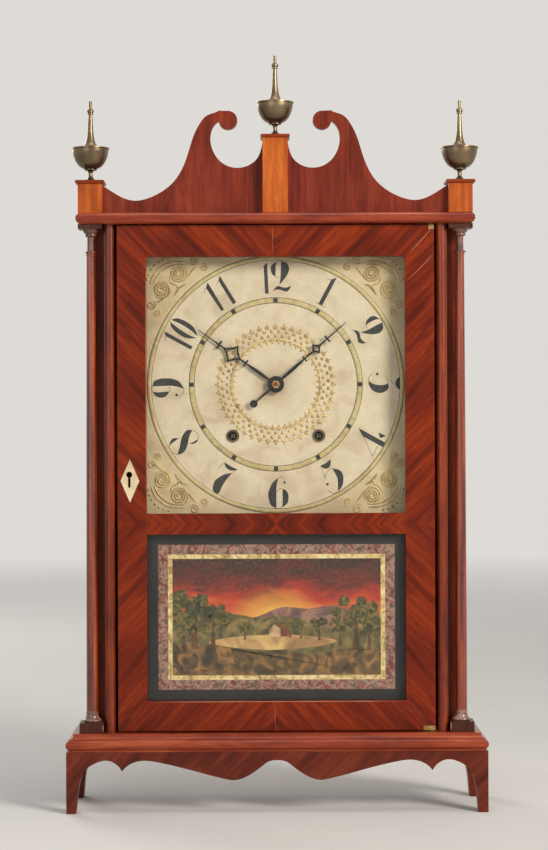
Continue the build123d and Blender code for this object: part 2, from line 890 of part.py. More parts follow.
with BuildPart() as minute_hand:
    minute_outline = hand(
        hand_plane(minute_hand_back, minute_angle),
        minute_hand_length, 41.0, 73.4, 3.3, 50.1, 57.6, 65.1, 6.9, 23.6, 3.7,
    )
    extrude(minute_outline, amount=hand_thickness)
    with BuildSketch(hand_plane(minute_hand_back, minute_angle)):
        with BuildLine():
            Polyline((-1.3, 1 - hub_radius), (1.3, 1 - hub_radius), (0.8, -29), (-0.8, -29), close=True)
        make_face()
        with Locations((0, -31.4)):
            Circle(4.1)
    extrude(amount=hand_thickness)
    with BuildSketch(facing(minute_hand_front)):
        with Locations((0, dial_z)):
            RegularPolygon(nut_radius, 6)
    extrude(amount=nut_height)
    rod(0, dial_z, centre_arbor_radius + pipe_play, arbor_nose, -dial_front, mode=Mode.SUBTRACT)
minute_hand.part.label = "minute_hand"
export_step(minute_hand.part, "parts/minute_hand.step")

# Movement: where its arbors stand, seen from the front as (x, z)


def towards(start, distance, degrees):
    """The point at a distance and an angle from another point."""
    turn = math.radians(degrees)
    return (start[0] + distance * math.cos(turn), start[1] + distance * math.sin(turn))


def gap_between(a, b):
    return math.hypot(b[0] - a[0], b[1] - a[1])


def meeting(a, reach_a, b, reach_b):
    """The point at two given distances from a and b, on the left of the way from a to b."""
    span = gap_between(a, b)
    along = (reach_a**2 - reach_b**2 + span**2) / (2 * span)
    across = math.sqrt(reach_a**2 - along**2)
    ux = (b[0] - a[0]) / span
    uz = (b[1] - a[1]) / span
    return (a[0] + along * ux - across * uz, a[1] + along * uz + across * ux)


pendulum_x = 32.0
verge_drop = 34.0
centre_at = (0, dial_z)
time_great_at = (winding_x, winding_z)
strike_great_at = (-winding_x, winding_z)
verge_at = (pendulum_x, dial_z + 68.7)
escape_at = (pendulum_x, verge_at[1] - verge_drop)
third_at = meeting(centre_at, 44.0, escape_at, 42.0)
motion_at = towards(centre_at, 30.0, 150)
pin_wheel_at = towards(strike_great_at, 59.4, 109.8)
strike_third_at = towards(pin_wheel_at, 37.4, 100)
fly_at = towards(strike_third_at, 32.0, 60)
count_at = towards(pin_wheel_at, 42.0, 110)
hammer_at = towards(pin_wheel_at, 44.0, 227)

# Tooth counts
great_teeth = 36
centre_leaves = 8
centre_teeth = 54
third_leaves = 6
third_teeth = 57
escape_leaves = 6
escape_teeth = 42
cannon_teeth = 10
motion_teeth = 30
motion_leaves = 8
hour_teeth = 32
pin_leaves = 8
pin_wheel_teeth = 45
strike_third_leaves = 6
strike_third_teeth = 42
fly_leaves = 6
count_leaves = 6
count_teeth = 36


class Gear:
    """A toothed wheel or pinion: its place, teeth, module and the angle of its first tooth."""

    def __init__(self, at, teeth, module, first_tooth=0.0):
        self.at = at
        self.teeth = teeth
        self.module = module
        self.first_tooth = first_tooth
        self.pitch = 2 * math.pi / teeth

    def drive(self, at, teeth):
        """The mate that stands at another place, with a gap facing this gear's tooth."""
        span = gap_between(self.at, at)
        module = 2 * span / (self.teeth + teeth)
        line = math.atan2(at[1] - self.at[1], at[0] - self.at[0])
        share = ((line - self.first_tooth) / self.pitch) % 1.0
        mate_pitch = 2 * math.pi / teeth
        self.module = module
        return Gear(at, teeth, module, line + math.pi + (share + 0.5) * mate_pitch)

    def outline(self):
        """Four corners for each tooth: wheels have long teeth, pinions have slim leaves."""
        slim = self.teeth <= 10
        radius = self.module * self.teeth / 2
        tip = radius + (0.6 if slim else 0.9) * self.module
        root = radius - (1.25 if slim else 1.1) * self.module
        root_half = (0.20 if slim else 0.25) * self.pitch
        tip_half = (0.09 if slim else 0.13) * self.pitch
        points = []
        for number in range(self.teeth):
            middle = self.first_tooth + number * self.pitch
            for distance, swing in ((root, -root_half), (tip, -tip_half), (tip, tip_half), (root, root_half)):
                angle = middle + swing
                points.append(
                    (self.at[0] + distance * math.cos(angle), self.at[1] + distance * math.sin(angle))
                )
        return points

    def cut(self, y0, y1):
        """Adds the toothed disc between two depths."""
        with BuildSketch(facing(y1)) as disc:
            with BuildLine():
                Polyline(*self.outline(), close=True)
            make_face()
        extrude(disc.sketch, amount=y1 - y0)


centre_wheel = Gear(centre_at, centre_teeth, 0)
third_pinion = centre_wheel.drive(third_at, third_leaves)
third_gear = Gear(third_at, third_teeth, 0)
escape_pinion = third_gear.drive(escape_at, escape_leaves)
centre_pinion = Gear(centre_at, centre_leaves, 0)
time_great_gear = centre_pinion.drive(time_great_at, great_teeth)
cannon = Gear(centre_at, cannon_teeth, 0)
motion_gear = cannon.drive(motion_at, motion_teeth)
motion_pinion = Gear(motion_at, motion_leaves, 0)
hour_gear = motion_pinion.drive(centre_at, hour_teeth)
strike_great_gear = Gear(strike_great_at, great_teeth, 0)
pin_pinion = strike_great_gear.drive(pin_wheel_at, pin_leaves)
pin_gear = Gear(pin_wheel_at, pin_wheel_teeth, 0)
strike_third_pinion = pin_gear.drive(strike_third_at, strike_third_leaves)
strike_third_gear = Gear(strike_third_at, strike_third_teeth, 0)
fly_pinion = strike_third_gear.drive(fly_at, fly_leaves)
count_pinion = Gear(pin_wheel_at, count_leaves, 0)
count_gear = count_pinion.drive(count_at, count_teeth)

# The wheels stand in layers behind one another between the plates
layer_a = plate_back + 2.0
layer_b = plate_back + 7.5
layer_c = plate_back + 13.0
layer_d = plate_back + 19.0
pinion_lead = (pinion_length - wheel_board) / 2
arbor_low = plate_back + end_shake
arbor_high = rear_plate_front - end_shake
pivot_low = plate_front + 1
pivot_high = rear_plate_back - 1


def arbor(at, radius=arbor_radius):
    """An arbor between the plates, with a pivot at each end."""
    rod(*at, radius, arbor_low, arbor_high)
    rod(*at, pivot_radius, pivot_low, pivot_high)


def pinion_beside(gear, layer):
    """A pinion a little longer than the wheel that it meets."""
    gear.cut(layer - pinion_lead, layer + wheel_board + pinion_lead)


motion_front = -3.2
with BuildPart() as centre_arbor:
    rod(*centre_at, centre_arbor_radius, arbor_nose, arbor_low)
    arbor(centre_at)
    pinion_beside(centre_pinion, layer_a)
    centre_wheel.cut(layer_b, layer_b + wheel_board)
    cannon.cut(motion_front, 0.4)
centre_arbor.part.label = "centre_arbor"
export_step(centre_arbor.part, "parts/centre_arbor.step")

hour_wheel_front = -7.6
hour_wheel_back = -4.8
with BuildPart() as hour_wheel:
    hour_gear.cut(hour_wheel_front, hour_wheel_back)
    rod(*centre_at, pipe_radius, hour_hand_back - hand_thickness, hour_wheel_back)
    rod(
        *centre_at, centre_arbor_radius + 0.08, hour_hand_back - hand_thickness,
        hour_wheel_back, mode=Mode.SUBTRACT,
    )
hour_wheel.part.label = "hour_wheel"
export_step(hour_wheel.part, "parts/hour_wheel.step")

stud_radius = 2.0
with BuildPart() as motion_wheel:
    motion_gear.cut(-3.0, 0)
    motion_pinion.cut(-8.2, -3.0)
    rod(*motion_at, stud_radius + running_clearance, -8.2, 0, mode=Mode.SUBTRACT)
motion_wheel.part.label = "motion_wheel"
export_step(motion_wheel.part, "parts/motion_wheel.step")

great_boss = 8.0
with BuildPart() as time_great_wheel:
    time_great_gear.cut(layer_a, layer_a + wheel_board)
    rod(*time_great_at, great_boss, arbor_low, layer_a)
    rod(
        *time_great_at, arbor_radius + running_clearance, arbor_low, layer_a + wheel_board,
        mode=Mode.SUBTRACT,
    )
time_great_wheel.part.label = "time_great_wheel"
export_step(time_great_wheel.part, "parts/time_great_wheel.step")

with BuildPart() as third_wheel:
    arbor(third_at, slim_arbor_radius)
    pinion_beside(third_pinion, layer_b)
    third_gear.cut(layer_c, layer_c + wheel_board)
third_wheel.part.label = "third_wheel"
export_step(third_wheel.part, "parts/third_wheel.step")

escape_radius = 26.0
escape_root = 22.5
escape_sheet = 1.5
escape_front = 2.6
escape_back = escape_front + escape_sheet
escape_shaft = 2.0
escape_pitch = 2 * math.pi / escape_teeth


def escape_outline():
    """Raked, pointed teeth: two corners for each."""
    points = []
    for number in range(escape_teeth):
        foot = number * escape_pitch
        tip = foot + 0.35 * escape_pitch
        for distance, angle in ((escape_root, foot), (escape_radius, tip)):
            points.append(
                (escape_at[0] + distance * math.cos(angle), escape_at[1] + distance * math.sin(angle))
            )
    return points


with BuildPart() as escape_wheel:
    with BuildSketch(facing(escape_back)):
        with BuildLine():
            Polyline(*escape_outline(), close=True)
        make_face()
        with Locations(escape_at):
            Circle(escape_root - 3.5, mode=Mode.SUBTRACT)
            Rectangle(2 * escape_root - 4, 3.2)
            Rectangle(3.2, 2 * escape_root - 4)
            Circle(5.0)
    extrude(amount=escape_sheet)
    rod(*escape_at, escape_shaft, escape_front, arbor_low)
    arbor(escape_at, slim_arbor_radius)
    pinion_beside(escape_pinion, layer_c)
escape_wheel.part.label = "escape_wheel"
export_step(escape_wheel.part, "parts/escape_wheel.step")

# Verge and pendulum hang on one fixed stud in the front plate
verge_stud = 3.0
pendulum_stud = 1.2
verge_hub = 5.5
pallet_clearance = 2.2
pallet_strip = 2.5
pallet_half_angle = 48
verge_front = 0.6
verge_sheet_front = 2.6
verge_back = 5.1
rod_radius = 0.9
rod_y = -4.0
rod_eye = 3.0
crutch_low = verge_at[1] - 40.0
with BuildPart() as verge:
    with BuildSketch(facing(verge_back)):
        with BuildLine():
            inner = escape_radius + pallet_clearance
            outer = inner + pallet_strip
            low = 90 - pallet_half_angle
            high = 90 + pallet_half_angle
            inner_arc = ThreePointArc(
                towards(escape_at, inner, low), towards(escape_at, inner, 90), towards(escape_at, inner, high),
            )
            Line(towards(escape_at, inner, high), towards(escape_at, outer, high))
            ThreePointArc(
                towards(escape_at, outer, high), towards(escape_at, outer, 90), towards(escape_at, outer, low),
            )
            Line(towards(escape_at, outer, low), towards(escape_at, inner, low))
        make_face()
    extrude(amount=verge_back - verge_sheet_front)
    rod(*verge_at, verge_hub, verge_front, verge_back)
    block(
        pendulum_x - 1.4, pendulum_x + 1.4, verge_front, verge_front + 1.2, crutch_low, verge_at[1],
    )
    for x0 in (pendulum_x - rod_radius - 1.6, pendulum_x + rod_radius + 0.4):
        block(x0, x0 + 1.2, rod_y - 2, verge_front + 1.2, crutch_low - 2, crutch_low)
    block(
        pendulum_x - rod_radius - 1.6, pendulum_x + rod_radius + 1.6,
        verge_front, verge_front + 1.2, crutch_low - 2, crutch_low,
    )
    rod(*verge_at, verge_stud + running_clearance, verge_front, verge_back, mode=Mode.SUBTRACT)
verge.part.label = "verge"
export_step(verge.part, "parts/verge.step")

bob_z = verge_at[1] - pendulum_length
bob_half = 4.0
bob_edge = 0.6
with BuildPart() as pendulum:
    rod(*verge_at, rod_eye, rod_y - 1, rod_y + 1)
    with Locations((pendulum_x, rod_y, (bob_z + verge_at[1] - rod_eye) / 2)):
        Cylinder(rod_radius, verge_at[1] - rod_eye - bob_z + 1)
    rod(*verge_at, pendulum_stud + running_clearance, rod_y - 1, rod_y + 1, mode=Mode.SUBTRACT)
    with BuildSketch(Plane(origin=(pendulum_x, rod_y, bob_z), x_dir=(1, 0, 0), z_dir=(0, 0, 1))):
        with BuildLine():
            Line((0, -bob_half), (0, bob_half))
            ThreePointArc((0, bob_half), (bob_radius * 0.72, bob_half * 0.55), (bob_radius, bob_edge))
            Line((bob_radius, bob_edge), (bob_radius, -bob_edge))
            ThreePointArc((bob_radius, -bob_edge), (bob_radius * 0.72, -bob_half * 0.55), (0, -bob_half))
        make_face()
    revolve(axis=Axis((pendulum_x, 0, bob_z), (0, 1, 0)))
pendulum.part.label = "pendulum"
export_step(pendulum.part, "parts/pendulum.step")

# Striking train

with BuildPart() as strike_great_wheel:
    strike_great_gear.cut(layer_d, layer_d + wheel_board)
    rod(*strike_great_at, great_boss, layer_d + wheel_board, arbor_high)
    rod(*strike_great_at, arbor_radius + running_clearance, layer_d, arbor_high, mode=Mode.SUBTRACT)
strike_great_wheel.part.label = "strike_great_wheel"
export_step(strike_great_wheel.part, "parts/strike_great_wheel.step")

pin_count = 13
pin_circle = 26.0
lift_pin_radius = 1.2
pin_wheel_front = layer_a + 1.2
pin_front = arbor_low + 0.3
with BuildPart() as pin_wheel:
    rod(*pin_wheel_at, escape_shaft, 0.8, arbor_low)
    arbor(pin_wheel_at)
    pin_gear.cut(pin_wheel_front, pin_wheel_front + 3.2)
    pin_pinion.cut(layer_d - pinion_lead, layer_d + wheel_board + pinion_lead)
    count_pinion.cut(1.6, 5.6)
    for number in range(pin_count):
        pin_at = towards(pin_wheel_at, pin_circle, number * 360 / pin_count + 360 / pin_count / 2)
        rod(*pin_at, lift_pin_radius, pin_front, pin_wheel_front)
pin_wheel.part.label = "pin_wheel"
export_step(pin_wheel.part, "parts/pin_wheel.step")

with BuildPart() as strike_third_wheel:
    arbor(strike_third_at, slim_arbor_radius)
    strike_third_pinion.cut(pin_wheel_front - 0.4, pin_wheel_front + 3.5)
    strike_third_gear.cut(layer_b, layer_b + 3.0)
strike_third_wheel.part.label = "strike_third_wheel"
export_step(strike_third_wheel.part, "parts/strike_third_wheel.step")

fly_reach = 20.0
fly_front = layer_d - 2
fly_back = layer_d + 8
with BuildPart() as fly:
    arbor(fly_at, slim_arbor_radius)
    fly_pinion.cut(layer_b - 0.5, layer_b + 3.5)
    block(
        fly_at[0] - fly_reach, fly_at[0] + fly_reach, fly_front, fly_back, fly_at[1] - 0.6, fly_at[1] + 0.6,
    )
fly.part.label = "fly"
export_step(fly.part, "parts/fly.step")

count_front = 2.2
count_back = 5.0
count_notch_depth = 3.0
with BuildPart() as count_wheel:
    count_gear.cut(count_front, count_back)
    rod(*count_at, stud_radius + running_clearance, count_front, count_back, mode=Mode.SUBTRACT)
count_wheel.part.label = "count_wheel"
export_step(count_wheel.part, "parts/count_wheel.step")

bell_at = (-10.0, plate_low - 49.0)
bell_rim = backboard_front - 6.0
bell_crown = bell_rim - bell_depth
hammer_swing = 12
hammer_tail = 14.0
hammer_head_radius = 4.5
hammer_head_length = 10.0
hammer_gap = 1.0
head_right = bell_at[0] - bell_radius - hammer_gap
head_middle = head_right - hammer_head_length / 2
hammer_arm_y = rear_plate_front - 3.0
tail_line = math.degrees(math.atan2(pin_wheel_at[1] - hammer_at[1], pin_wheel_at[0] - hammer_at[0]))
arm_fall = hammer_at[1] - bell_at[1]
arm_run = head_middle - hammer_at[0]
with BuildPart() as hammer:
    arbor(hammer_at)
    with BuildSketch(facing(pin_front + 2.2)):
        with Locations(Location((*hammer_at, 0), (0, 0, tail_line))):
            Rectangle(hammer_tail, 4.0, align=(Align.MIN, Align.CENTER))
    extrude(amount=2.0)
    with BuildSketch(facing(hammer_arm_y + 1.5)):
        with Locations(Location((*hammer_at, 0), (0, 0, math.degrees(math.atan2(-arm_fall, arm_run))))):
            Rectangle(math.hypot(arm_fall, arm_run), 3.0, align=(Align.MIN, Align.CENTER))
            Circle(5.0)
    extrude(amount=3.0)
    with Locations(Location((head_middle, hammer_arm_y, bell_at[1]), (0, 90, 0))):
        Cylinder(hammer_head_radius, hammer_head_length)
hammer.part.label = "hammer"
export_step(hammer.part, "parts/hammer.step")

post_radius = 4.0
with BuildPart() as bell:
    with BuildSketch(Plane(origin=(bell_at[0], bell_rim, bell_at[1]), x_dir=(1, 0, 0), z_dir=(0, 0, 1))):
        with BuildLine():
            crown = -bell_depth
            belly = bell_radius * 0.8
            ThreePointArc((bell_radius, 0), (belly, crown * 0.62), (9.0, crown))
            Line((9.0, crown), (0, crown))
            Line((0, crown), (0, crown + bell_wall))
            Line((0, crown + bell_wall), (8.6, crown + bell_wall))
            ThreePointArc(
                (8.6, crown + bell_wall),
                (belly - bell_wall * 0.8, crown * 0.62 + bell_wall * 0.8),
                (bell_radius - bell_wall, 0),
            )
            Line((bell_radius - bell_wall, 0), (bell_radius, 0))
        make_face()
    revolve(axis=Axis((bell_at[0], 0, bell_at[1]), (0, 1, 0)))
    rod(*bell_at, post_radius, bell_crown, backboard_front)
    rod(*bell_at, post_radius, bell_crown - 3.0, bell_crown)
bell.part.label = "bell"
export_step(bell.part, "parts/bell.step")

# Plates, rails and plate pillars

through_holes = [
    (time_great_at, arbor_radius),
    (strike_great_at, arbor_radius),
    (centre_at, centre_arbor_radius),
    (escape_at, escape_shaft),
    (pin_wheel_at, escape_shaft),
    (third_at, pivot_radius),
    (strike_third_at, pivot_radius),
    (fly_at, pivot_radius),
    (hammer_at, pivot_radius),
]
with BuildPart() as front_plate:
    block(-rail_inner, rail_inner, plate_front, plate_back, plate_low, plate_low + plate_height)
    for at, radius in through_holes:
        rod(*at, radius + running_clearance, plate_front, plate_back, mode=Mode.SUBTRACT)
front_plate.part.label = "front_plate"
export_step(front_plate.part, "parts/front_plate.step")

with BuildPart() as back_plate:
    block(-rail_inner, rail_inner, rear_plate_front, rear_plate_back, plate_low, plate_low + plate_height)
    for at, radius in through_holes:
        rod(*at, pivot_radius + running_clearance, rear_plate_front, rear_plate_back, mode=Mode.SUBTRACT)
back_plate.part.label = "back_plate"
export_step(back_plate.part, "parts/back_plate.step")

plate_pillar_radius = 5.0
plate_pillar_inset = 10.0
with BuildPart() as plate_pillars:
    for x in (-rail_inner + plate_pillar_inset, rail_inner - plate_pillar_inset):
        for z in (plate_low + plate_pillar_inset, plate_low + plate_height - plate_pillar_inset):
            rod(x, z, plate_pillar_radius, plate_back, rear_plate_front)
    rod(*motion_at, stud_radius, -8.8, plate_front)
    rod(*count_at, stud_radius, 1.0, plate_front)
    rod(*verge_at, verge_stud, 0, plate_front)
    rod(*verge_at, pendulum_stud, rod_y - 2, 0)
    rod(*verge_at, 2.4, rod_y - 3, rod_y - 1.6)
plate_pillars.part.label = "plate_pillars"
export_step(plate_pillars.part, "parts/plate_pillars.step")

with BuildPart() as movement_rails:
    for x0 in (-rail_inner - rail_board, rail_inner):
        block(x0, x0 + rail_board, plate_front, backboard_front, plate_low, plate_low + rail_height)
movement_rails.part.label = "movement_rails"
export_step(movement_rails.part, "parts/movement_rails.step")

# Weights, cords, drums and pulleys

cord_y = plate_back + 12.0
drum_low = cord_y - drum_length / 2
drum_high = cord_y + drum_length / 2
cord_track = pulley_radius + cord_radius
drum_track = drum_radius + cord_radius
pulley_at_x = weight_x - cord_track
pulley_z = head_z - 23.0
weight_low = base_top + weight_rest
weight_high = weight_low + weight_length
eye_height = 8.0
square_side = 5.0
square_front = dial_back + 0.5
square_back = plate_front - 2.0


def winding_drum(side):
    """An arbor with a winding square, and the drum that its cord winds on."""
    at = (side * winding_x, winding_z)
    with BuildPart() as drum:
        block(
            at[0] - square_side / 2, at[0] + square_side / 2, square_front, square_back,
            at[1] - square_side / 2, at[1] + square_side / 2,
        )
        rod(*at, arbor_radius, square_back, arbor_high)
        rod(*at, pivot_radius, arbor_high, pivot_high)
        rod(*at, drum_radius, drum_low, drum_high)
        rod(*at, flange_radius, drum_low - 1.2, drum_low)
        rod(*at, flange_radius, drum_high, drum_high + 0.6)
    return drum


time_drum = winding_drum(1)
time_drum.part.label = "time_drum"
export_step(time_drum.part, "parts/time_drum.step")

strike_drum = winding_drum(-1)
strike_drum.part.label = "strike_drum"
export_step(strike_drum.part, "parts/strike_drum.step")

sheave_half = 3.0
groove_half = 1.4


def cord_pulley(side):
    """A grooved pulley under the cornice."""
    at = (side * pulley_at_x, pulley_z)
    with BuildPart() as pulley:
        rod(*at, pulley_radius + 3, cord_y - sheave_half, cord_y - groove_half)
        rod(*at, pulley_radius - 0.1, cord_y - groove_half, cord_y + groove_half)
        rod(*at, pulley_radius + 3, cord_y + groove_half, cord_y + sheave_half)
        rod(
            *at, stud_radius + running_clearance, cord_y - sheave_half, cord_y + sheave_half,
            mode=Mode.SUBTRACT,
        )
    return pulley


time_pulley = cord_pulley(1)
time_pulley.part.label = "time_pulley"
export_step(time_pulley.part, "parts/time_pulley.step")

strike_pulley = cord_pulley(-1)
strike_pulley.part.label = "strike_pulley"
export_step(strike_pulley.part, "parts/strike_pulley.step")

cheek = 3.0
bracket_half = 8.0
bracket_bridge = 8.9
with BuildPart() as pulley_brackets:
    for side in (-1, 1):
        x = side * pulley_at_x
        for y0 in (cord_y - sheave_half - end_shake - cheek, cord_y + sheave_half + end_shake):
            block(x - bracket_half, x + bracket_half, y0, y0 + cheek, pulley_z - 8, head_z)
        block(
            x - bracket_half, x + bracket_half, cord_y - sheave_half - end_shake,
            cord_y + sheave_half + end_shake, head_z - bracket_bridge, head_z,
        )
        rod(x, pulley_z, stud_radius, cord_y - sheave_half - cheek, cord_y + sheave_half + cheek)
pulley_brackets.part.label = "pulley_brackets"
export_step(pulley_brackets.part, "parts/pulley_brackets.step")

span_x = pulley_at_x - winding_x
span_z = pulley_z - winding_z
span_length = math.hypot(span_x, span_z)
cross_angle = math.asin((cord_track + drum_track) / span_length)
cord_angle = math.atan2(span_z, span_x) + cross_angle
leave = (
    winding_x + drum_track * math.sin(cord_angle),
    winding_z - drum_track * math.cos(cord_angle),
)
arrive = (
    pulley_at_x - cord_track * math.sin(cord_angle),
    pulley_z + cord_track * math.cos(cord_angle),
)
over = (pulley_at_x + cord_track * math.cos(1.2), pulley_z + cord_track * math.sin(1.2))
with BuildPart() as cords:
    with BuildLine(facing(cord_y)) as path:
        Line(leave, arrive)
        ThreePointArc(arrive, over, (weight_x, pulley_z))
    with BuildSketch(Plane(origin=path.wire() @ 0, z_dir=path.wire() % 0)):
        Circle(cord_radius)
    sweep(path=path.wire())
    mirror(about=Plane.YZ)
cords.part.label = "cords"
export_step(cords.part, "parts/cords.step")


def cord_fall(side):
    """The cord that hangs from the pulley down to the weight."""
    with BuildPart() as fall:
        with BuildSketch(Plane.XY.offset(weight_high + eye_height)):
            with Locations((side * weight_x, cord_y)):
                Circle(cord_radius)
        extrude(amount=pulley_z - weight_high - eye_height)
    return fall


time_cord_fall = cord_fall(1)
time_cord_fall.part.label = "time_cord_fall"
export_step(time_cord_fall.part, "parts/time_cord_fall.step")

strike_cord_fall = cord_fall(-1)
strike_cord_fall.part.label = "strike_cord_fall"
export_step(strike_cord_fall.part, "parts/strike_cord_fall.step")


def hanging_weight(side):
    """A cast weight with a rounded top and foot, and an iron eye."""
    with BuildPart() as weight:
        with BuildSketch(Plane.XY.offset(weight_low)):
            with Locations((side * weight_x, cord_y)):
                Circle(weight_radius)
        extrude(amount=weight_length)
        fillet(weight.edges().filter_by(GeomType.CIRCLE), 3.0)
        with BuildSketch(Plane.XY.offset(weight_high)):
            with Locations((side * weight_x, cord_y)):
                Circle(2.5)
        extrude(amount=eye_height)
    return weight


time_weight = hanging_weight(1)
time_weight.part.label = "time_weight"
export_step(time_weight.part, "parts/time_weight.step")

strike_weight = hanging_weight(-1)
strike_weight.part.label = "strike_weight"
export_step(strike_weight.part, "parts/strike_weight.step")
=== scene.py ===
import json
import math
import random

import bmesh
import bpy
from mathutils import Matrix, Vector


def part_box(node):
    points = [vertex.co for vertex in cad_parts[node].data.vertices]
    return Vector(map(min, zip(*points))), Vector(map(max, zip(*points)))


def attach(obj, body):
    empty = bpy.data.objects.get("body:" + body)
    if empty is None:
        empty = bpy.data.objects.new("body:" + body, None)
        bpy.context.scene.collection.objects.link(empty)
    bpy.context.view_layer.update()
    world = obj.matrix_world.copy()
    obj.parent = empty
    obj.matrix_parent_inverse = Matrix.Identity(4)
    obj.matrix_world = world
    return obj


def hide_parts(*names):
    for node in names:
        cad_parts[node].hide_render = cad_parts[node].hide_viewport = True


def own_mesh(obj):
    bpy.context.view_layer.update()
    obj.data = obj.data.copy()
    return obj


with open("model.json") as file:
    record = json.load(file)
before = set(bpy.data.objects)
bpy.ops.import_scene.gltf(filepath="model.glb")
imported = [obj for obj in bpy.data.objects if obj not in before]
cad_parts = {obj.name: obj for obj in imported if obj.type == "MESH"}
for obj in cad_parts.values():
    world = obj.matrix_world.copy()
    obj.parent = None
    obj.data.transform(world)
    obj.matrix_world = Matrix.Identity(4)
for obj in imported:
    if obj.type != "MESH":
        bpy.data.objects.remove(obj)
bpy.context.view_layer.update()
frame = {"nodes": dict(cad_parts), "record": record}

MM = 0.001
dice = random.Random(7)

# Places taken from the frame, in metres

dial_low, dial_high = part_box("dial")
door_low, door_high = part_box("door_stiles")
rail_low, rail_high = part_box("door_rails")
tablet_low, tablet_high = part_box("tablet_glass")
window_low, window_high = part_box("dial_glass")
pillars_low, pillars_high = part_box("pillars")
DIAL_Y = dial_low.y
DIAL_Z = (dial_low.z + dial_high.z) / 2
DOOR_Y = rail_low.y
WINDOW_HALF = rail_high.x
GLASS_LAP = 0.0045  # how far a glass reaches behind the door's frame
PICTURE_LOW = tablet_low.z + GLASS_LAP
PICTURE_HIGH = tablet_high.z - GLASS_LAP
WINDOW_LOW = window_low.z + GLASS_LAP
WINDOW_HIGH = window_high.z - GLASS_LAP
MIDDLE_RAIL_Z = (PICTURE_HIGH + WINDOW_LOW) / 2


# Materials


def srgb(red, green, blue):
    """A colour read from the photograph, as the linear values that a shader takes."""
    parts = [c / 255 for c in (red, green, blue)]
    linear = [p / 12.92 if p < 0.04045 else ((p + 0.055) / 1.055) ** 2.4 for p in parts]
    return (*linear, 1.0)


# The colour sockets of a Mix node, whose names it uses more than once
MIX_FIRST, MIX_SECOND, MIX_RESULT = 6, 7, 2


class Finish:
    """A material on one Principled shader, with short calls for the nodes that feed it."""

    def __init__(self, name, metallic=0.0, coat=0.0, coat_roughness=0.2, specular=0.5):
        self.material = bpy.data.materials.new(name)
        self.material.use_nodes = True
        self.tree = self.material.node_tree
        self.shader = self.tree.nodes["Principled BSDF"]
        self.shader.inputs["Metallic"].default_value = metallic
        self.shader.inputs["Coat Weight"].default_value = coat
        self.shader.inputs["Coat Roughness"].default_value = coat_roughness
        self.shader.inputs["Specular IOR Level"].default_value = specular
        self.place = self.tree.nodes.new("ShaderNodeTexCoord").outputs["Object"]

    def put(self, socket, value):
        """Links a socket to a node's output, or sets it to a number, colour or vector."""
        if isinstance(value, bpy.types.NodeSocket):
            self.tree.links.new(value, socket)
        else:
            socket.default_value = value

    def sum(self, operation, first, second=0.0, third=0.0):
        node = self.tree.nodes.new("ShaderNodeMath")
        node.operation = operation
        for socket, value in zip(node.inputs, (first, second, third)):
            self.put(socket, value)
        return node.outputs[0]

    def parts(self, vector):
        node = self.tree.nodes.new("ShaderNodeSeparateXYZ")
        self.put(node.inputs[0], vector)
        return node.outputs

    def vector(self, x, y, z):
        node = self.tree.nodes.new("ShaderNodeCombineXYZ")
        for socket, value in zip(node.inputs, (x, y, z)):
            self.put(socket, value)
        return node.outputs[0]

    def scaled(self, values, factors):
        """A vector of three values, each times its factor."""
        return self.vector(*[self.sum("MULTIPLY", value, factor) for value, factor in zip(values, factors)])

    def reach(self, first, second):
        """Distance from the middle of a plane, from the two places in it."""
        squares = [self.sum("MULTIPLY", place, place) for place in (first, second)]
        return self.sum("SQRT", self.sum("ADD", *squares))

    def dot(self, vector, axis):
        node = self.tree.nodes.new("ShaderNodeVectorMath")
        node.operation = "DOT_PRODUCT"
        self.put(node.inputs[0], vector)
        self.put(node.inputs[1], axis)
        return node.outputs["Value"]

    def noise(self, scale, vector=None, detail=4.0, distortion=0.0):
        node = self.tree.nodes.new("ShaderNodeTexNoise")
        self.put(node.inputs["Vector"], self.place if vector is None else vector)
        self.put(node.inputs["Scale"], scale)
        self.put(node.inputs["Detail"], detail)
        self.put(node.inputs["Distortion"], distortion)
        return node.outputs["Fac"]

    def cracks(self, scale):
        """Distance to the nearest line of a net of cracks."""
        node = self.tree.nodes.new("ShaderNodeTexVoronoi")
        node.feature = "DISTANCE_TO_EDGE"
        self.put(node.inputs["Vector"], self.place)
        self.put(node.inputs["Scale"], scale)
        return node.outputs["Distance"]

    def ramp(self, factor, *stops):
        """A colour for each position of factor, from (position, colour) pairs."""
        node = self.tree.nodes.new("ShaderNodeValToRGB")
        self.put(node.inputs[0], factor)
        band = node.color_ramp.elements
        while len(band) < len(stops):
            band.new(0.5)
        for element, (position, colour) in zip(band, stops):
            element.position = position
            element.color = colour
        return node.outputs["Color"]

    def span(self, factor, low, high, to_low=0.0, to_high=1.0):
        node = self.tree.nodes.new("ShaderNodeMapRange")
        for socket, value in zip(node.inputs, (factor, low, high, to_low, to_high)):
            self.put(socket, value)
        return node.outputs[0]

    def mix(self, factor, first, second):
        node = self.tree.nodes.new("ShaderNodeMix")
        node.data_type = "RGBA"
        self.put(node.inputs["Factor"], factor)
        self.put(node.inputs[MIX_FIRST], first)
        self.put(node.inputs[MIX_SECOND], second)
        return node.outputs[MIX_RESULT]

    def bump(self, height, distance, strength=0.5):
        node = self.tree.nodes.new("ShaderNodeBump")
        self.put(node.inputs["Height"], height)
        node.inputs["Distance"].default_value = distance
        node.inputs["Strength"].default_value = strength
        self.put(self.shader.inputs["Normal"], node.outputs[0])

    def done(self, colour, roughness):
        self.put(self.shader.inputs["Base Color"], colour)
        self.put(self.shader.inputs["Roughness"], roughness)
        return self.material


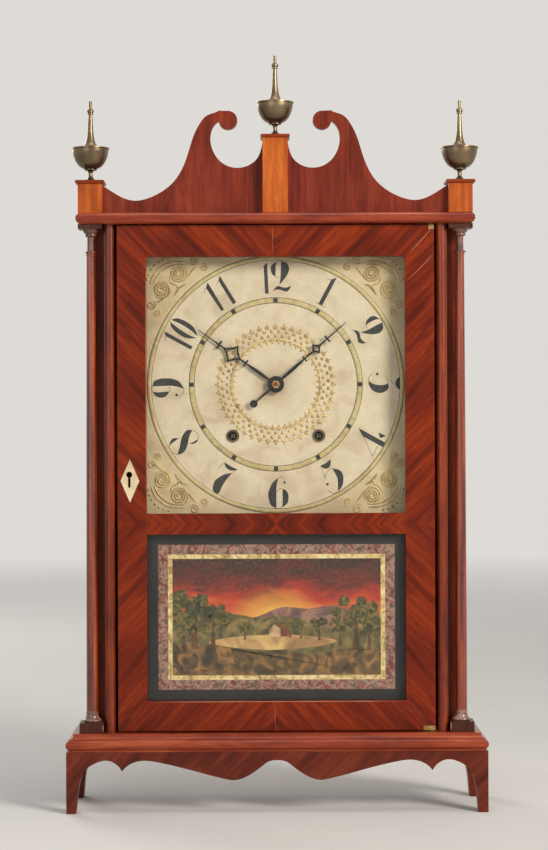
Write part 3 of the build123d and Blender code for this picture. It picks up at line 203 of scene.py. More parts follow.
# The directions across, along and through the grain
SLANT = 0.71
ALONG_X = ((0, 0, 1), (1, 0, 0), (0, 1, 0))
ALONG_Z = ((1, 0, 0), (0, 0, 1), (0, 1, 0))
SLANTED = ((SLANT, 0, -SLANT), (SLANT, 0, SLANT), (0, 1, 0))
SLANTED_ROUND = ((SLANT, SLANT, -SLANT), (SLANT, SLANT, SLANT), (0, 0, 0))


def wood(name, tones, grain, coat=0.08, mirror_z=None, figure=1.0, sheen=(0.28, 0.5)):
    """Streaks, broad figure and pores along the grain; grain is the directions across, along and through."""
    m = Finish(name, coat=coat, coat_roughness=0.22, specular=0.14)
    place = m.place
    if mirror_z is not None:
        x, y, z = m.parts(place)
        from_middle = m.sum("ABSOLUTE", m.sum("SUBTRACT", z, mirror_z))
        place = m.vector(m.sum("ABSOLUTE", x), y, from_middle)
    across, along, through = [m.dot(place, axis) for axis in grain]

    def stretched(fine, long):
        return m.scaled((across, along, through), (fine, long, fine))

    broad = m.noise(1.0, stretched(34 * figure, 7), 3.0, 0.9)
    streak = m.noise(1.0, stretched(210, 14), 4.0, 0.3)
    pore = m.noise(1.0, stretched(1500, 60), 2.0)
    worn = m.noise(14.0, detail=5.0)
    tone = m.sum("MULTIPLY_ADD", broad, 0.62, m.sum("MULTIPLY", streak, 0.42))
    dark, middle, light = [srgb(*tone) for tone in tones]
    colour = m.ramp(tone, (0.34, dark), (0.52, middle), (0.7, light))
    pores = m.span(pore, 0.34, 0.5)
    colour = m.mix(m.sum("MULTIPLY", m.sum("SUBTRACT", 1.0, pores), 0.45), colour, dark)
    rubbed = m.span(worn, 0.6, 0.78, 0.0, 0.28)
    colour = m.mix(rubbed, colour, light)
    m.bump(m.sum("MULTIPLY_ADD", pores, 0.6, m.sum("MULTIPLY", streak, 0.4)), 0.00015, 0.35)
    return m.done(colour, m.span(worn, 0.3, 0.75, *sheen))


def metal(name, dark, light, metallic, roughness, grain_size=180.0, coat=0.0):
    """A metal or smooth hard surface, mottled and worn."""
    m = Finish(name, metallic=metallic, coat=coat)
    mottle = m.noise(grain_size, detail=6.0, distortion=0.4)
    cloud = m.noise(grain_size / 6, detail=3.0)
    tone = m.sum("MULTIPLY_ADD", mottle, 0.5, m.sum("MULTIPLY", cloud, 0.5))
    m.bump(mottle, 0.00012, 0.4)
    return m.done(m.ramp(tone, (0.36, srgb(*dark)), (0.64, srgb(*light))), m.span(mottle, 0.3, 0.7, *roughness))


# The dark, middle and light tone of each wood
DOOR_RED = ((62, 14, 2), (112, 32, 5), (150, 54, 12))
SCROLL_BROWN = ((78, 22, 12), (122, 44, 25), (146, 62, 38))
SKIRT_BROWN = ((62, 21, 11), (96, 36, 21), (124, 54, 33))
MAHOGANY = ((60, 17, 5), (102, 34, 11), (132, 54, 22))
MAHOGANY_EDGE = ((76, 22, 5), (124, 44, 12), (158, 68, 24))
MOULDING_RED = ((92, 26, 12), (144, 56, 26), (178, 86, 46))
ORANGE_WOOD = ((128, 54, 18), (180, 86, 30), (206, 114, 48))
BLOCK_BROWN = ((48, 22, 14), (74, 38, 26), (104, 60, 42))
PINE = ((120, 86, 52), (168, 126, 78), (196, 156, 104))
OAK = ((112, 78, 44), (158, 116, 68), (186, 146, 94))
CHERRY = ((96, 50, 26), (146, 82, 44), (176, 110, 62))

door_veneer = wood("door_veneer", DOOR_RED, SLANTED, mirror_z=MIDDLE_RAIL_Z, figure=1.3)
skirt_veneer = wood("skirt_veneer", SKIRT_BROWN, SLANTED_ROUND)
upright_veneer = wood("upright_veneer", MAHOGANY, ALONG_Z)
scroll_veneer = wood("scroll_veneer", SCROLL_BROWN, ALONG_Z, figure=0.8)
block_wood = wood("block_wood", BLOCK_BROWN, ALONG_Z)
long_wood = wood("long_wood", MOULDING_RED, ALONG_X, coat=0.4, sheen=(0.24, 0.42))
bead_wood = wood("bead_wood", MAHOGANY_EDGE, ALONG_Z, coat=0.5, sheen=(0.2, 0.36))
plinth_wood = wood("plinth_wood", ORANGE_WOOD, ALONG_Z)
cap_wood = wood("cap_wood", MAHOGANY_EDGE, ALONG_X)
board_wood = wood("board_wood", MAHOGANY, ALONG_X)
pine = wood("pine_board", PINE, ALONG_Z, coat=0.0, sheen=(0.55, 0.75))
pine_long = wood("pine_long", PINE, ALONG_X, coat=0.0, sheen=(0.55, 0.75))
oak = wood("oak_plates", OAK, ALONG_Z, coat=0.1, sheen=(0.4, 0.6))
cherry = wood("cherry_wheels", CHERRY, ALONG_Z, coat=0.15, sheen=(0.35, 0.55))
brass = metal("antique_brass", (92, 77, 58), (138, 119, 92), 0.9, (0.26, 0.38), 40.0)
hinge_brass = metal("worn_brass", (120, 84, 46), (206, 164, 104), 0.7, (0.35, 0.55))
steel = metal("drawn_steel", (120, 118, 112), (176, 172, 164), 0.9, (0.28, 0.45))
iron = metal("cast_iron", (34, 31, 29), (72, 66, 60), 0.5, (0.5, 0.75))
bone = metal("bone", (188, 164, 124), (226, 208, 172), 0.0, (0.35, 0.5), 120.0, 0.2)
gilt = metal("gilt_gesso", (146, 116, 62), (222, 194, 134), 0.25, (0.28, 0.46), 260.0)
gilt_flat = metal("gilt_paint", (168, 148, 98), (204, 186, 136), 0.15, (0.45, 0.65), 200.0)
black_paint = metal("black_paint", (24, 25, 25), (58, 58, 54), 0.0, (0.4, 0.6), 420.0)
olive_paint = metal("olive_paint", (120, 112, 62), (172, 158, 100), 0.1, (0.5, 0.65), 200.0)
crack_dark = metal("crack_dark", (26, 9, 5), (58, 22, 12), 0.0, (0.6, 0.8))
# Pale paint for chips, cracks and losses in the veneer, also used for painted highlights along the door's lips
pale_loss_and_highlight = metal("pale_loss_and_highlight", (176, 116, 82), (214, 160, 122), 0.0, (0.5, 0.7), 400.0)
cord_fibre = metal("cord_fibre", (96, 78, 52), (158, 134, 96), 0.0, (0.7, 0.9), 900.0)


PILLAR_FOOT = 0.011  # height of the pale greyish band at a pillar's foot
PILLAR_NECK = 0.0245  # height of its darker capital
FEATHER = 0.001  # width over which one finish passes into the next


def pillar_finish(foot_top, neck_low):
    """The shaft's red varnish, with a paler greyish foot and a darker capital."""
    m = Finish("pillar_varnish", coat=0.55, coat_roughness=0.15)
    x, y, z = m.parts(m.place)
    grain = m.noise(1.0, m.scaled((x, y, z), (260.0, 260.0, 9.0)), 4.0)
    worn = m.noise(90.0, detail=5.0)
    shaft = m.ramp(grain, *zip((0.34, 0.52, 0.7), [srgb(*tone) for tone in MAHOGANY_EDGE]))
    foot = m.ramp(worn, (0.36, srgb(104, 72, 60)), (0.64, srgb(168, 132, 116)))
    neck = m.ramp(worn, (0.36, srgb(58, 34, 24)), (0.64, srgb(110, 78, 60)))
    colour = m.mix(m.span(z, foot_top, foot_top + FEATHER, 0.85, 0.0), shaft, foot)
    colour = m.mix(m.span(z, neck_low, neck_low + FEATHER, 0.0, 0.8), colour, neck)
    m.bump(grain, 0.0001, 0.3)
    return m.done(colour, m.span(worn, 0.3, 0.7, 0.18, 0.34))


GROUND_START, GROUND_END = 0.1375, 0.1395  # radii between which cream paint gives way to the gold ground
STAIN_INNER, STAIN_OUTER = 0.014, 0.03  # radii of the stain round the hands


def aged_dial():
    """Cream paint with fine cracks, darker with dirt, and a gold ground outside the chapter ring."""
    m = Finish("aged_dial", coat=0.15, coat_roughness=0.35)
    x, y, z = m.parts(m.place)
    up = m.sum("SUBTRACT", z, DIAL_Z)
    radius = m.reach(x, up)
    mottle = m.noise(38.0, detail=6.0, distortion=0.5)
    speck = m.noise(420.0, detail=3.0)
    cream = m.ramp(mottle, (0.34, srgb(192, 172, 142)), (0.5, srgb(208, 191, 161)), (0.68, srgb(216, 201, 173)))
    cream = m.mix(m.span(speck, 0.62, 0.74, 0.0, 0.45), cream, srgb(168, 142, 104))
    outside = m.span(radius, GROUND_START, GROUND_END)
    ground = m.ramp(mottle, (0.35, srgb(182, 160, 116)), (0.65, srgb(204, 184, 142)))
    colour = m.mix(m.sum("MULTIPLY", outside, 0.75), cream, ground)
    centre = m.span(radius, STAIN_INNER, STAIN_OUTER, 0.35, 0.0)
    colour = m.mix(centre, colour, srgb(160, 134, 98))
    net = m.cracks(95.0)
    line = m.span(net, 0.0, 0.03, 0.16, 0.0)
    colour = m.mix(line, colour, srgb(126, 102, 70))
    m.bump(m.sum("MINIMUM", net, 0.03), 0.0002, 0.2)
    return m.done(colour, m.span(mottle, 0.3, 0.7, 0.42, 0.62))


IRON_TONES = (srgb(17, 17, 18), srgb(52, 49, 45))
NUT_TONES = (srgb(122, 96, 52), srgb(204, 174, 112))
ARBOR_TONES = (srgb(112, 108, 100), srgb(170, 164, 152))
DRUM_TONES = (srgb(104, 56, 30), srgb(166, 100, 56))
NUT_DEPTH = 0.0024
ARBOR_END_Y = 0.002  # the drum's steel arbor lies in front of this, its wooden drum behind
NOTHING_IN_FRONT = -1.0


def iron_behind(name, front_y, front_tones=NUT_TONES, back_tones=IRON_TONES):
    """Black iron, or other tones, with what stands in front of front_y in tones of its own."""
    m = Finish(name, metallic=0.3)
    rub = m.noise(260.0, detail=5.0)
    nut = m.sum("LESS_THAN", m.parts(m.place)[1], front_y)
    iron_tone = m.ramp(rub, (0.4, back_tones[0]), (0.72, back_tones[1]))
    nut_tone = m.ramp(rub, (0.35, front_tones[0]), (0.65, front_tones[1]))
    m.bump(rub, 0.0001, 0.3)
    return m.done(m.mix(nut, iron_tone, nut_tone), m.span(rub, 0.3, 0.7, 0.38, 0.6))


MIRROR_STRAIGHT = 0.007  # share of light that one face of the glass mirrors head on
MIRROR_GRAZING = 0.9  # what it mirrors more when seen along its face


def clear_sheet():
    """Old glass that lets the light through, and mirrors a little more at a slant."""
    m = Finish("old_glass")
    nodes = m.tree.nodes
    wave = m.noise(9.0, detail=2.0)
    tint = m.ramp(wave, (0.3, (0.985, 0.99, 0.98, 1)), (0.7, (0.995, 0.995, 0.99, 1)))
    clear = nodes.new("ShaderNodeBsdfTransparent")
    gloss = nodes.new("ShaderNodeBsdfGlossy")
    facing = nodes.new("ShaderNodeLayerWeight")
    mixer = nodes.new("ShaderNodeMixShader")
    ripple = nodes.new("ShaderNodeBump")
    m.put(clear.inputs["Color"], tint)
    m.put(gloss.inputs["Roughness"], m.span(wave, 0.3, 0.7, 0.02, 0.06))
    m.put(ripple.inputs["Height"], wave)
    ripple.inputs["Distance"].default_value = 0.002
    ripple.inputs["Strength"].default_value = 0.15
    m.put(gloss.inputs["Normal"], ripple.outputs[0])
    grazing = m.sum("POWER", facing.outputs["Facing"], 5.0)
    m.put(mixer.inputs[0], m.sum("MULTIPLY_ADD", grazing, MIRROR_GRAZING, MIRROR_STRAIGHT))
    m.put(mixer.inputs[1], clear.outputs[0])
    m.put(mixer.inputs[2], gloss.outputs[0])
    m.put(nodes["Material Output"].inputs["Surface"], mixer.outputs[0])
    return m.material


winding_drum = iron_behind("winding_drum", ARBOR_END_Y, ARBOR_TONES, DRUM_TONES)
finishes = {
    "mahogany": upright_veneer, "light_mahogany": plinth_wood, "pine": pine, "painted_board": aged_dial(),
    "oak_plate": oak, "cherry_wheel": cherry, "brass": brass, "steel_wire": steel, "iron": iron, "bone": bone,
    "black_iron": iron_behind("hand_iron", NOTHING_IN_FRONT), "clear_glass": clear_sheet(), "cord": cord_fibre,
}
finishes["painted_glass"] = finishes["clear_glass"]
own_finish = {
    "door_rails": door_veneer, "door_stiles": door_veneer,
    "front_skirt": skirt_veneer, "side_skirts": skirt_veneer,
    "base_moulding": long_wood, "cornice": long_wood, "bead_strips": bead_wood, "pillar_blocks": block_wood,
    "pillars": pillar_finish(pillars_low.z + PILLAR_FOOT, pillars_high.z - PILLAR_NECK),
    "scroll_left": scroll_veneer, "scroll_right": scroll_veneer,
    "base_board": board_wood, "plinth_caps": cap_wood, "pulley_brackets": pine_long,
    "movement_rails": pine_long, "case_hinge_plates": hinge_brass, "door_hinge_leaves": hinge_brass,
    "minute_hand": iron_behind("minute_iron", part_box("minute_hand")[0].y + NUT_DEPTH),
    "time_drum": winding_drum, "strike_drum": winding_drum,
}
slot_of = {part["node"]: part["material_slot"] for part in frame["record"]["subparts"]}
for node, slot in slot_of.items():
    mesh = frame["nodes"][node].data
    mesh.materials.clear()
    mesh.materials.append(own_finish.get(node, finishes[slot]))


# Painted and raised work, drawn in millimetres on an upright plane

SUNK = -0.05  # raised work starts this far behind the face that it stands on


def smooth(points, steps=6, closed=False):
    """A soft curve through the points."""
    count = len(points)
    spans = count if closed else count - 1
    curve = []
    for i in range(spans):
        before = points[(i - 1) % count] if closed or i else points[0]
        start, end = points[i], points[(i + 1) % count]
        after = points[(i + 2) % count] if closed or i + 2 < count else points[-1]
        for step in range(steps):
            t = step / steps
            curve.append(tuple(
                0.5 * (2 * b + (c - a) * t + (2 * a - 5 * b + 4 * c - d) * t**2 + (3 * b - a - 3 * c + d) * t**3)
                for a, b, c, d in zip(before, start, end, after)
            ))
    return curve if closed else curve + [tuple(points[-1])]


def circle(u, v, radius, count=16, start=0.0, end=360.0):
    """Points round a circle, or along an arc of it."""
    whole = abs(end - start) >= 360
    steps = count if whole else count - 1
    angles = [math.radians(start + (end - start) * i / steps) for i in range(count)]
    return [(u + radius * math.cos(a), v + radius * math.sin(a)) for a in angles]


def finished(shape, name, material, soft=True):
    """The object made from a bmesh."""
    bmesh.ops.recalc_face_normals(shape, faces=shape.faces)
    mesh = bpy.data.meshes.new(name)
    shape.to_mesh(mesh)
    shape.free()
    for face in mesh.polygons:
        face.use_smooth = soft
    mesh.materials.append(material)
    piece = bpy.data.objects.new(name, mesh)
    bpy.context.scene.collection.objects.link(piece)
    return piece


class Relief:
    """A mesh that grows from an upright plane towards the front: u to the right, v up, h forward."""

    def __init__(self, y, z, x=0.0):
        self.mesh = bmesh.new()
        self.origin = Vector((x, y, z))

    def at(self, u, v, h):
        return self.mesh.verts.new(self.origin + Vector((u, -h, v)) * MM)

    def plate(self, outline, low, high):
        """A flat layer with this outline."""
        front = [self.at(u, v, high) for u, v in outline]
        back = [self.at(u, v, low) for u, v in outline]
        faces = [self.mesh.faces.new(front), self.mesh.faces.new(list(reversed(back)))]
        for i in range(len(outline)):
            j = (i + 1) % len(outline)
            self.mesh.faces.new((front[i], back[i], back[j], front[j]))
        bmesh.ops.triangulate(self.mesh, faces=faces, ngon_method="EAR_CLIP")

    def ridge(self, path, width, height, closed=False, taper=0.25, ribs=5):
        """A half-round ridge along a path; an open one narrows at its ends."""
        count = len(path)
        rings = []
        for i, (u, v) in enumerate(path):
            before = path[i - 1] if closed or i else path[0]
            after = path[(i + 1) % count] if closed or i + 1 < count else path[-1]
            du, dv = after[0] - before[0], after[1] - before[1]
            size = math.hypot(du, dv) or 1.0
            share = 1.0
            if not closed and taper:
                edge = min(i, count - 1 - i) / (count - 1)
                share = min(1.0, 0.2 + edge / taper)
            ring = []
            for rib in range(ribs):
                angle = math.pi * rib / (ribs - 1)
                side = math.cos(angle) * width / 2 * share
                rise = math.sin(angle) * height * share
                height_here = rise if 0 < rib < ribs - 1 else SUNK
                ring.append(self.at(u - dv / size * side, v + du / size * side, height_here))
            rings.append(ring)
        pairs = list(zip(rings, rings[1:] + (rings[:1] if closed else [])))
        for first, second in pairs:
            for i in range(ribs):
                j = (i + 1) % ribs
                self.mesh.faces.new((first[i], first[j], second[j], second[i]))
        if not closed:
            self.mesh.faces.new(rings[0])
            self.mesh.faces.new(list(reversed(rings[-1])))

    def dome(self, u, v, radius, height, sides=10):
        """A small round boss."""
        foot = [self.at(a, b, SUNK) for a, b in circle(u, v, radius, sides)]
        shoulder = [self.at(a, b, height * 0.72) for a, b in circle(u, v, radius * 0.7, sides)]
        crown = self.at(u, v, height)
        for i in range(sides):
            j = (i + 1) % sides
            self.mesh.faces.new((foot[i], foot[j], shoulder[j], shoulder[i]))
            self.mesh.faces.new((shoulder[i], shoulder[j], crown))
        self.mesh.faces.new(list(reversed(foot)))

    def done(self, name, material, body, soft=True):
        piece = finished(self.mesh, name, material, soft)
        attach(piece, body)
        return piece


# Dial: gilt rings, minute ring, numerals, wreath and corner scrolls

CHAPTER_RADIUS = 90.0
CHAPTER_WIDTH = 5.8
OUTER_RING_RADIUS = 135.3
OUTER_RING_WIDTH = 4.8
NUMERAL_RADIUS = 113.4
UNIT = 0.1188
CELL_MIDDLE = 198.0
PAINT = 0.12
HAIRLINE = 0.65
HOUR_MARK = 2.3  # half the side of the square at each hour
MINUTE_MARK = 2.4  # half the length of a minute line

rings = Relief(DIAL_Y, DIAL_Z)
rings.ridge(circle(0, 0, CHAPTER_RADIUS, 144), CHAPTER_WIDTH, 0.35, closed=True)
rings.ridge(circle(0, 0, OUTER_RING_RADIUS, 168), OUTER_RING_WIDTH, 0.7, closed=True)
rings.done("dial_rings", gilt_flat, "case")

lines = Relief(DIAL_Y, DIAL_Z)
for radius in (
    CHAPTER_RADIUS - CHAPTER_WIDTH / 2, CHAPTER_RADIUS + CHAPTER_WIDTH / 2,
    OUTER_RING_RADIUS - OUTER_RING_WIDTH / 2, OUTER_RING_RADIUS + OUTER_RING_WIDTH / 2,
):
    lines.ridge(circle(0, 0, radius, 144), 0.55, 0.2, closed=True, ribs=3)
for minute in range(60):
    turn = math.radians(90 - minute * 6)
    out_u, out_v = math.cos(turn), math.sin(turn)
    if minute % 5 == 0:
        corners = [(-HOUR_MARK, -HOUR_MARK), (HOUR_MARK, -HOUR_MARK), (HOUR_MARK, HOUR_MARK), (-HOUR_MARK, HOUR_MARK)]
        square = [(CHAPTER_RADIUS + out, aside) for out, aside in corners]
        lines.plate([(r * out_u - b * out_v, r * out_v + b * out_u) for r, b in square], 0.1, 0.5)
    else:
        inner, outer = CHAPTER_RADIUS - MINUTE_MARK, CHAPTER_RADIUS + MINUTE_MARK
        steps = [inner + (outer - inner) * i / 4 for i in range(5)]
        lines.ridge([(r * out_u, r * out_v) for r in steps], 0.6, 0.5, taper=0, ribs=3)
lines.done("dial_lines", black_paint, "case", soft=False)

# Each numeral is drawn in units of UNIT millimetres, with u to the right and v down. A blade runs from tip to
# tip along one curve and back along the other, a bar is a straight outline, and a line is a hairline.
TWO = [
    ("blade", [(162, 45), (112, 75), (101, 115), (115, 160), (144, 182)], [(141, 130), (146, 80)]),
    ("blade", [(196, 42), (245, 60), (266, 105), (255, 155), (215, 215), (178, 257)], [(190, 180), (192, 120)]),
    ("line", [(162, 45), (180, 38), (196, 42)]),
    ("line", [(144, 182), (160, 187), (175, 185)]),
    ("blade", [(112, 318), (150, 275), (175, 267), (215, 280), (250, 278), (283, 262)],
     [(275, 290), (245, 318), (215, 310), (175, 298), (140, 302)]),
]
NUMERALS = {
    1: [
        ("bar", [(163, 85), (197, 42), (207, 326), (170, 330)]), ("line", [(140, 332), (235, 332)]),
        ("line", [(163, 85), (125, 110)]),
    ],
    2: TWO,
    3: [
        ("blade", [(134, 36), (190, 38), (248, 36)], [(225, 65), (190, 76), (155, 65)]),
        ("line", [(202, 85), (150, 140)]), ("line", [(127, 165), (150, 150), (182, 143)]),
        ("blade", [(185, 141), (240, 140), (277, 200), (262, 270), (215, 310), (165, 318)],
         [(195, 275), (207, 210), (200, 160)]),
        ("ball", (107, 239), 13), ("line", [(165, 318), (130, 310), (100, 275)]),
    ],
    4: [
        ("bar", [(183, 150), (228, 85), (234, 370), (188, 372)]), ("line", [(190, 150), (70, 320)]),
        ("line", [(70, 320), (240, 312)]), ("bar", [(243, 300), (283, 260), (288, 335)]),
    ],
    5: [
        ("blade", [(176, 78), (230, 82), (285, 72)], [(262, 115), (228, 132), (195, 118)]),
        ("line", [(178, 82), (158, 200)]), ("line", [(158, 200), (185, 165), (230, 150), (262, 153)]),
        ("blade", [(258, 153), (300, 190), (314, 232), (300, 280), (255, 335), (195, 358)], [(235, 300), (255, 240)]),
        ("ball", (148, 254), 12), ("line", [(195, 360), (150, 350), (122, 300)]),
    ],
    6: [
        ("blade", [(218, 83), (165, 130), (130, 210), (128, 260), (150, 330), (200, 358)],
         [(197, 300), (195, 230), (203, 150)]),
        ("blade", [(256, 183), (290, 200), (309, 245), (300, 310), (250, 352)], [(258, 300), (257, 240)]),
        ("ball", (274, 126), 11), ("line", [(218, 83), (245, 75), (270, 95)]),
        ("line", [(200, 215), (225, 185), (256, 183)]), ("line", [(200, 358), (225, 360), (250, 352)]),
    ],
    7: [
        ("blade", [(144, 80), (210, 84), (277, 80)], [(252, 106), (210, 120), (168, 106)]),
        ("line", [(144, 82), (125, 150)]), ("line", [(277, 80), (254, 130)]),
        ("blade", [(254, 130), (200, 175), (160, 245), (155, 290), (175, 345), (215, 366)],
         [(240, 345), (235, 280), (238, 210)]),
    ],
    8: [
        ("blade", [(178, 98), (155, 130), (157, 165), (185, 215), (240, 265), (285, 310), (298, 330)],
         [(310, 290), (300, 245), (270, 205), (225, 165), (195, 130)]),
        ("blade", [(270, 92), (290, 120), (285, 160), (265, 185)], [(272, 150), (272, 120)]),
        ("blade", [(178, 240), (155, 280), (158, 310), (195, 355)], [(185, 310), (182, 280)]),
        ("line", [(178, 98), (225, 72), (270, 92)]), ("line", [(195, 355), (250, 360), (298, 330)]),
    ],
    9: [
        ("blade", [(135, 43), (95, 75), (82, 120), (95, 165), (138, 195)], [(133, 130), (130, 90)]),
        ("blade", [(185, 42), (230, 60), (252, 110), (257, 165), (250, 230), (220, 290), (158, 328)],
         [(180, 270), (190, 200), (187, 120)]),
        ("line", [(135, 43), (160, 38), (185, 42)]), ("line", [(138, 195), (160, 200), (185, 190)]),
        ("line", [(158, 328), (110, 310), (90, 280)]), ("ball", (106, 260), 12),
    ],
    10: [
        ("bar", [(83, 75), (116, 45), (122, 332), (90, 335)]), ("line", [(83, 75), (48, 102)]),
        ("blade", [(215, 45), (175, 90), (155, 180), (165, 260), (205, 325)], [(196, 250), (200, 150)]),
        ("blade", [(235, 45), (275, 90), (288, 170), (275, 260), (222, 325)], [(240, 250), (245, 150)]),
    ],
    11: [
        ("bar", [(92, 85), (130, 50), (135, 335), (107, 335)]), ("line", [(92, 85), (52, 115)]),
        ("bar", [(222, 85), (254, 50), (262, 335), (227, 335)]), ("line", [(222, 85), (182, 115)]),
    ],
    12: [("bar", [(92, 85), (123, 55), (137, 335), (105, 335)]), ("line", [(92, 85), (52, 115)])]
    + [(kind, *[[(u + 55, v) for u, v in part] for part in parts]) for kind, *parts in TWO],
}
TOPS_INWARD = (4, 5, 6, 7, 8)

numerals = Relief(DIAL_Y, DIAL_Z)
for hour, strokes in NUMERALS.items():
    clock = math.radians(hour * 30)
    middle_u, middle_v = NUMERAL_RADIUS * math.sin(clock), NUMERAL_RADIUS * math.cos(clock)
    sign = -1 if hour in TOPS_INWARD else 1

    def placed(points):
        """Points of the numeral's cell, turned and moved to its hour."""
        moved = []
        for u, v in points:
            right, up = (u - CELL_MIDDLE) * UNIT * sign, (CELL_MIDDLE - v) * UNIT * sign
            moved.append((
                middle_u + right * math.cos(clock) + up * math.sin(clock),
                middle_v - right * math.sin(clock) + up * math.cos(clock),
            ))
        return moved

    for kind, *parts in strokes:
        if kind == "blade":
            one_way = smooth(parts[0])
            back = smooth([parts[0][-1], *parts[1], parts[0][0]])
            numerals.plate(placed(one_way + back[1:-1]), 0.0, PAINT)
        elif kind == "bar":
            numerals.plate(placed(parts[0]), 0.0, PAINT)
        elif kind == "ball":
            numerals.plate(placed(circle(*parts[0], parts[1])), 0.0, PAINT)
        else:
            numerals.ridge(placed(smooth(parts[0], 4)), HAIRLINE, PAINT, taper=0, ribs=3)
numerals.done("dial_numerals", black_paint, "case", soft=False)

SPRIGS = 44
INNER_BERRIES, OUTER_BERRIES = 51.9, 56.7  # radii of the wreath's rows
INNER_SPRIGS, OUTER_SPRIGS = 49.5, 58.8
wreath = Relief(DIAL_Y, DIAL_Z)


def sprig(u, v, turn, size):
    """A leaf of three lobes that points along turn."""
    for lobe, reach in ((-0.75, 0.72), (0.0, 1.0), (0.75, 0.72)):
        angle = turn + lobe
        tip = reach * size
        path = [(u + math.cos(angle) * tip * s, v + math.sin(angle) * tip * s) for s in (0.0, 0.35, 0.7, 1.0)]
        wreath.ridge(path, size * 0.42, 0.75, taper=0.5)


for i in range(SPRIGS):
    turn = 2 * math.pi * i / SPRIGS
    step = math.pi / SPRIGS
    wreath.dome(INNER_BERRIES * math.cos(turn), INNER_BERRIES * math.sin(turn), 2.0, 1.1)
    wreath.dome(OUTER_BERRIES * math.cos(turn + step), OUTER_BERRIES * math.sin(turn + step), 2.1, 1.15)
    sprig(INNER_SPRIGS * math.cos(turn + step), INNER_SPRIGS * math.sin(turn + step), turn + step + math.pi, 6.6)
    sprig(OUTER_SPRIGS * math.cos(turn), OUTER_SPRIGS * math.sin(turn), turn, 6.4)
wreath.done("dial_wreath", gilt, "case")

scrolls = Relief(DIAL_Y, DIAL_Z)
patches = Relief(DIAL_Y, DIAL_Z)


SPIRAL_STEPS = 16  # points in a turn
SPIRAL_CLOSE = 0.86  # share of the radius that a curl winds in


def spiral(u, v, radius, start, hand, turns=2.4):
    """A curl that winds in from its rim, with its first point at angle start."""
    count = int(turns * SPIRAL_STEPS)
    path = []
    for i in range(count):
        share = i / (count - 1)
        angle = math.radians(start) + hand * 2 * math.pi * turns * share
        reach = radius * (1 - SPIRAL_CLOSE * share)
        path.append((u + reach * math.cos(angle), v + reach * math.sin(angle)))
    return path


LEAF = [(0, 0), (4, 2.4), (9, 1.6), (12, 0), (8.5, -2.0), (3.5, -2.2)]
BLOT = [(-95, 107), (-100, 104), (-104.5, 99), (-108, 95), (-106, 101), (-101, 106)]
BOSS_U, BOSS_V, BOSS_REACH = -112, 110, 24.5  # middle and radius of the arc of small bosses


def corner(flip_u, flip_v):
    """The raised scrolls of one corner, drawn for the upper left and mirrored."""

    def put(path, width, height, **more):
        scrolls.ridge([(u * flip_u, v * flip_v) for u, v in path], width, height, **more)

    put(spiral(-103.5, 118.6, 9.6, 60, -1, 2.9), 1.8, 1.4, taper=0.1)
    put(spiral(-121.6, 101.8, 9.8, 210, 1, 2.9), 1.8, 1.4, taper=0.1)
    put(spiral(-87.3, 133.0, 5.4, 200, 1, 1.7), 1.4, 1.1, taper=0.1)
    put(spiral(-77.0, 125.2, 4.4, 120, -1, 1.6), 1.3, 1.0, taper=0.1)
    put(spiral(-133.0, 85.2, 5.0, 70, -1, 1.7), 1.4, 1.1, taper=0.1)
    put(spiral(-125.9, 77.0, 4.2, 150, 1, 1.6), 1.3, 1.0, taper=0.1)
    for push in (0.0, 3.6):
        put(smooth([(-97 - push * 0.4, 128 + push), (-112 - push * 0.8, 127 + push * 0.8),
                    (-124 - push, 119 + push * 0.6), (-130.5 - push, 108)]), 1.6, 1.1, taper=0.1)
    put(smooth([(-113.5, 116), (-110.5, 108.5), (-105.5, 106.5), (-104, 101)]), 2.0, 1.0)
    put(smooth([(-99, 110), (-92, 118), (-86, 126)]), 1.7, 1.0)
    put(smooth([(-119, 92), (-126, 88), (-132, 80)]), 1.7, 1.0)
    for i in range(7):
        angle = math.radians(96 + i * 13)
        u, v = BOSS_U + BOSS_REACH * math.cos(angle), BOSS_V + BOSS_REACH * math.sin(angle)
        scrolls.dome(u * flip_u, v * flip_v, 1.5, 1.1)
    for u, v, turn in ((-94, 104, -35), (-107, 92, -52), (-82, 114, -25), (-117, 79, -65)):
        a = math.radians(turn)
        outline = [(u + x * math.cos(a) - y * math.sin(a), v + x * math.sin(a) + y * math.cos(a)) for x, y in LEAF]
        outline = smooth(outline, 4, closed=True)
        if all(math.hypot(x, y) > OUTER_RING_RADIUS + OUTER_RING_WIDTH / 2 for x, y in outline):
            patches.plate([(x * flip_u, y * flip_v) for x, y in outline], 0.0, 0.25)


for flip_u in (1, -1):
    for flip_v in (1, -1):
        corner(flip_u, flip_v)
        blot = smooth(BLOT, 4, closed=True)
        patches.plate([(x * flip_u, y * flip_v) for x, y in blot], 0.0, 0.3)
scrolls.done("dial_scrolls", gilt, "case")
patches.done("dial_patches", olive_paint, "case")

# Tablet: borders and a landscape, painted on the back of the glass

PAINT_Y = tablet_high.y + 0.0007  # behind the glass by more than the thickest paint
picture_middle = (PICTURE_LOW + PICTURE_HIGH) / 2
half_width = (WINDOW_HALF + GLASS_LAP) / MM
half_height = (tablet_high.z - tablet_low.z) / 2 / MM
LAP = GLASS_LAP / MM
BLACK_START = 0.4  # the borders' edges, measured in from the edge of the glass
BLACK_END = 11.3 + LAP
MARBLED_END = 21.6 + LAP
GOLD_END = 26.4 + LAP
PICTURE_LAP = 1.0  # how far the picture reaches under the gold line
reach_u, reach_v = half_width - GOLD_END + PICTURE_LAP, half_height - GOLD_END + PICTURE_LAP

# How thick each layer of the painting is: the thicker ones stand in front
SKY, FAR_HILLS, NEAR_HILLS, LAKE, SHORE = 0.05, 0.12, 0.17, 0.22, 0.27
COTTAGE, SHED, TREES, ROOF, BORDER = 0.3, 0.31, 0.32, 0.34, 0.5
SKY_BACK = -0.5
HILL_STEPS = 40
CROWN_DABS = 26


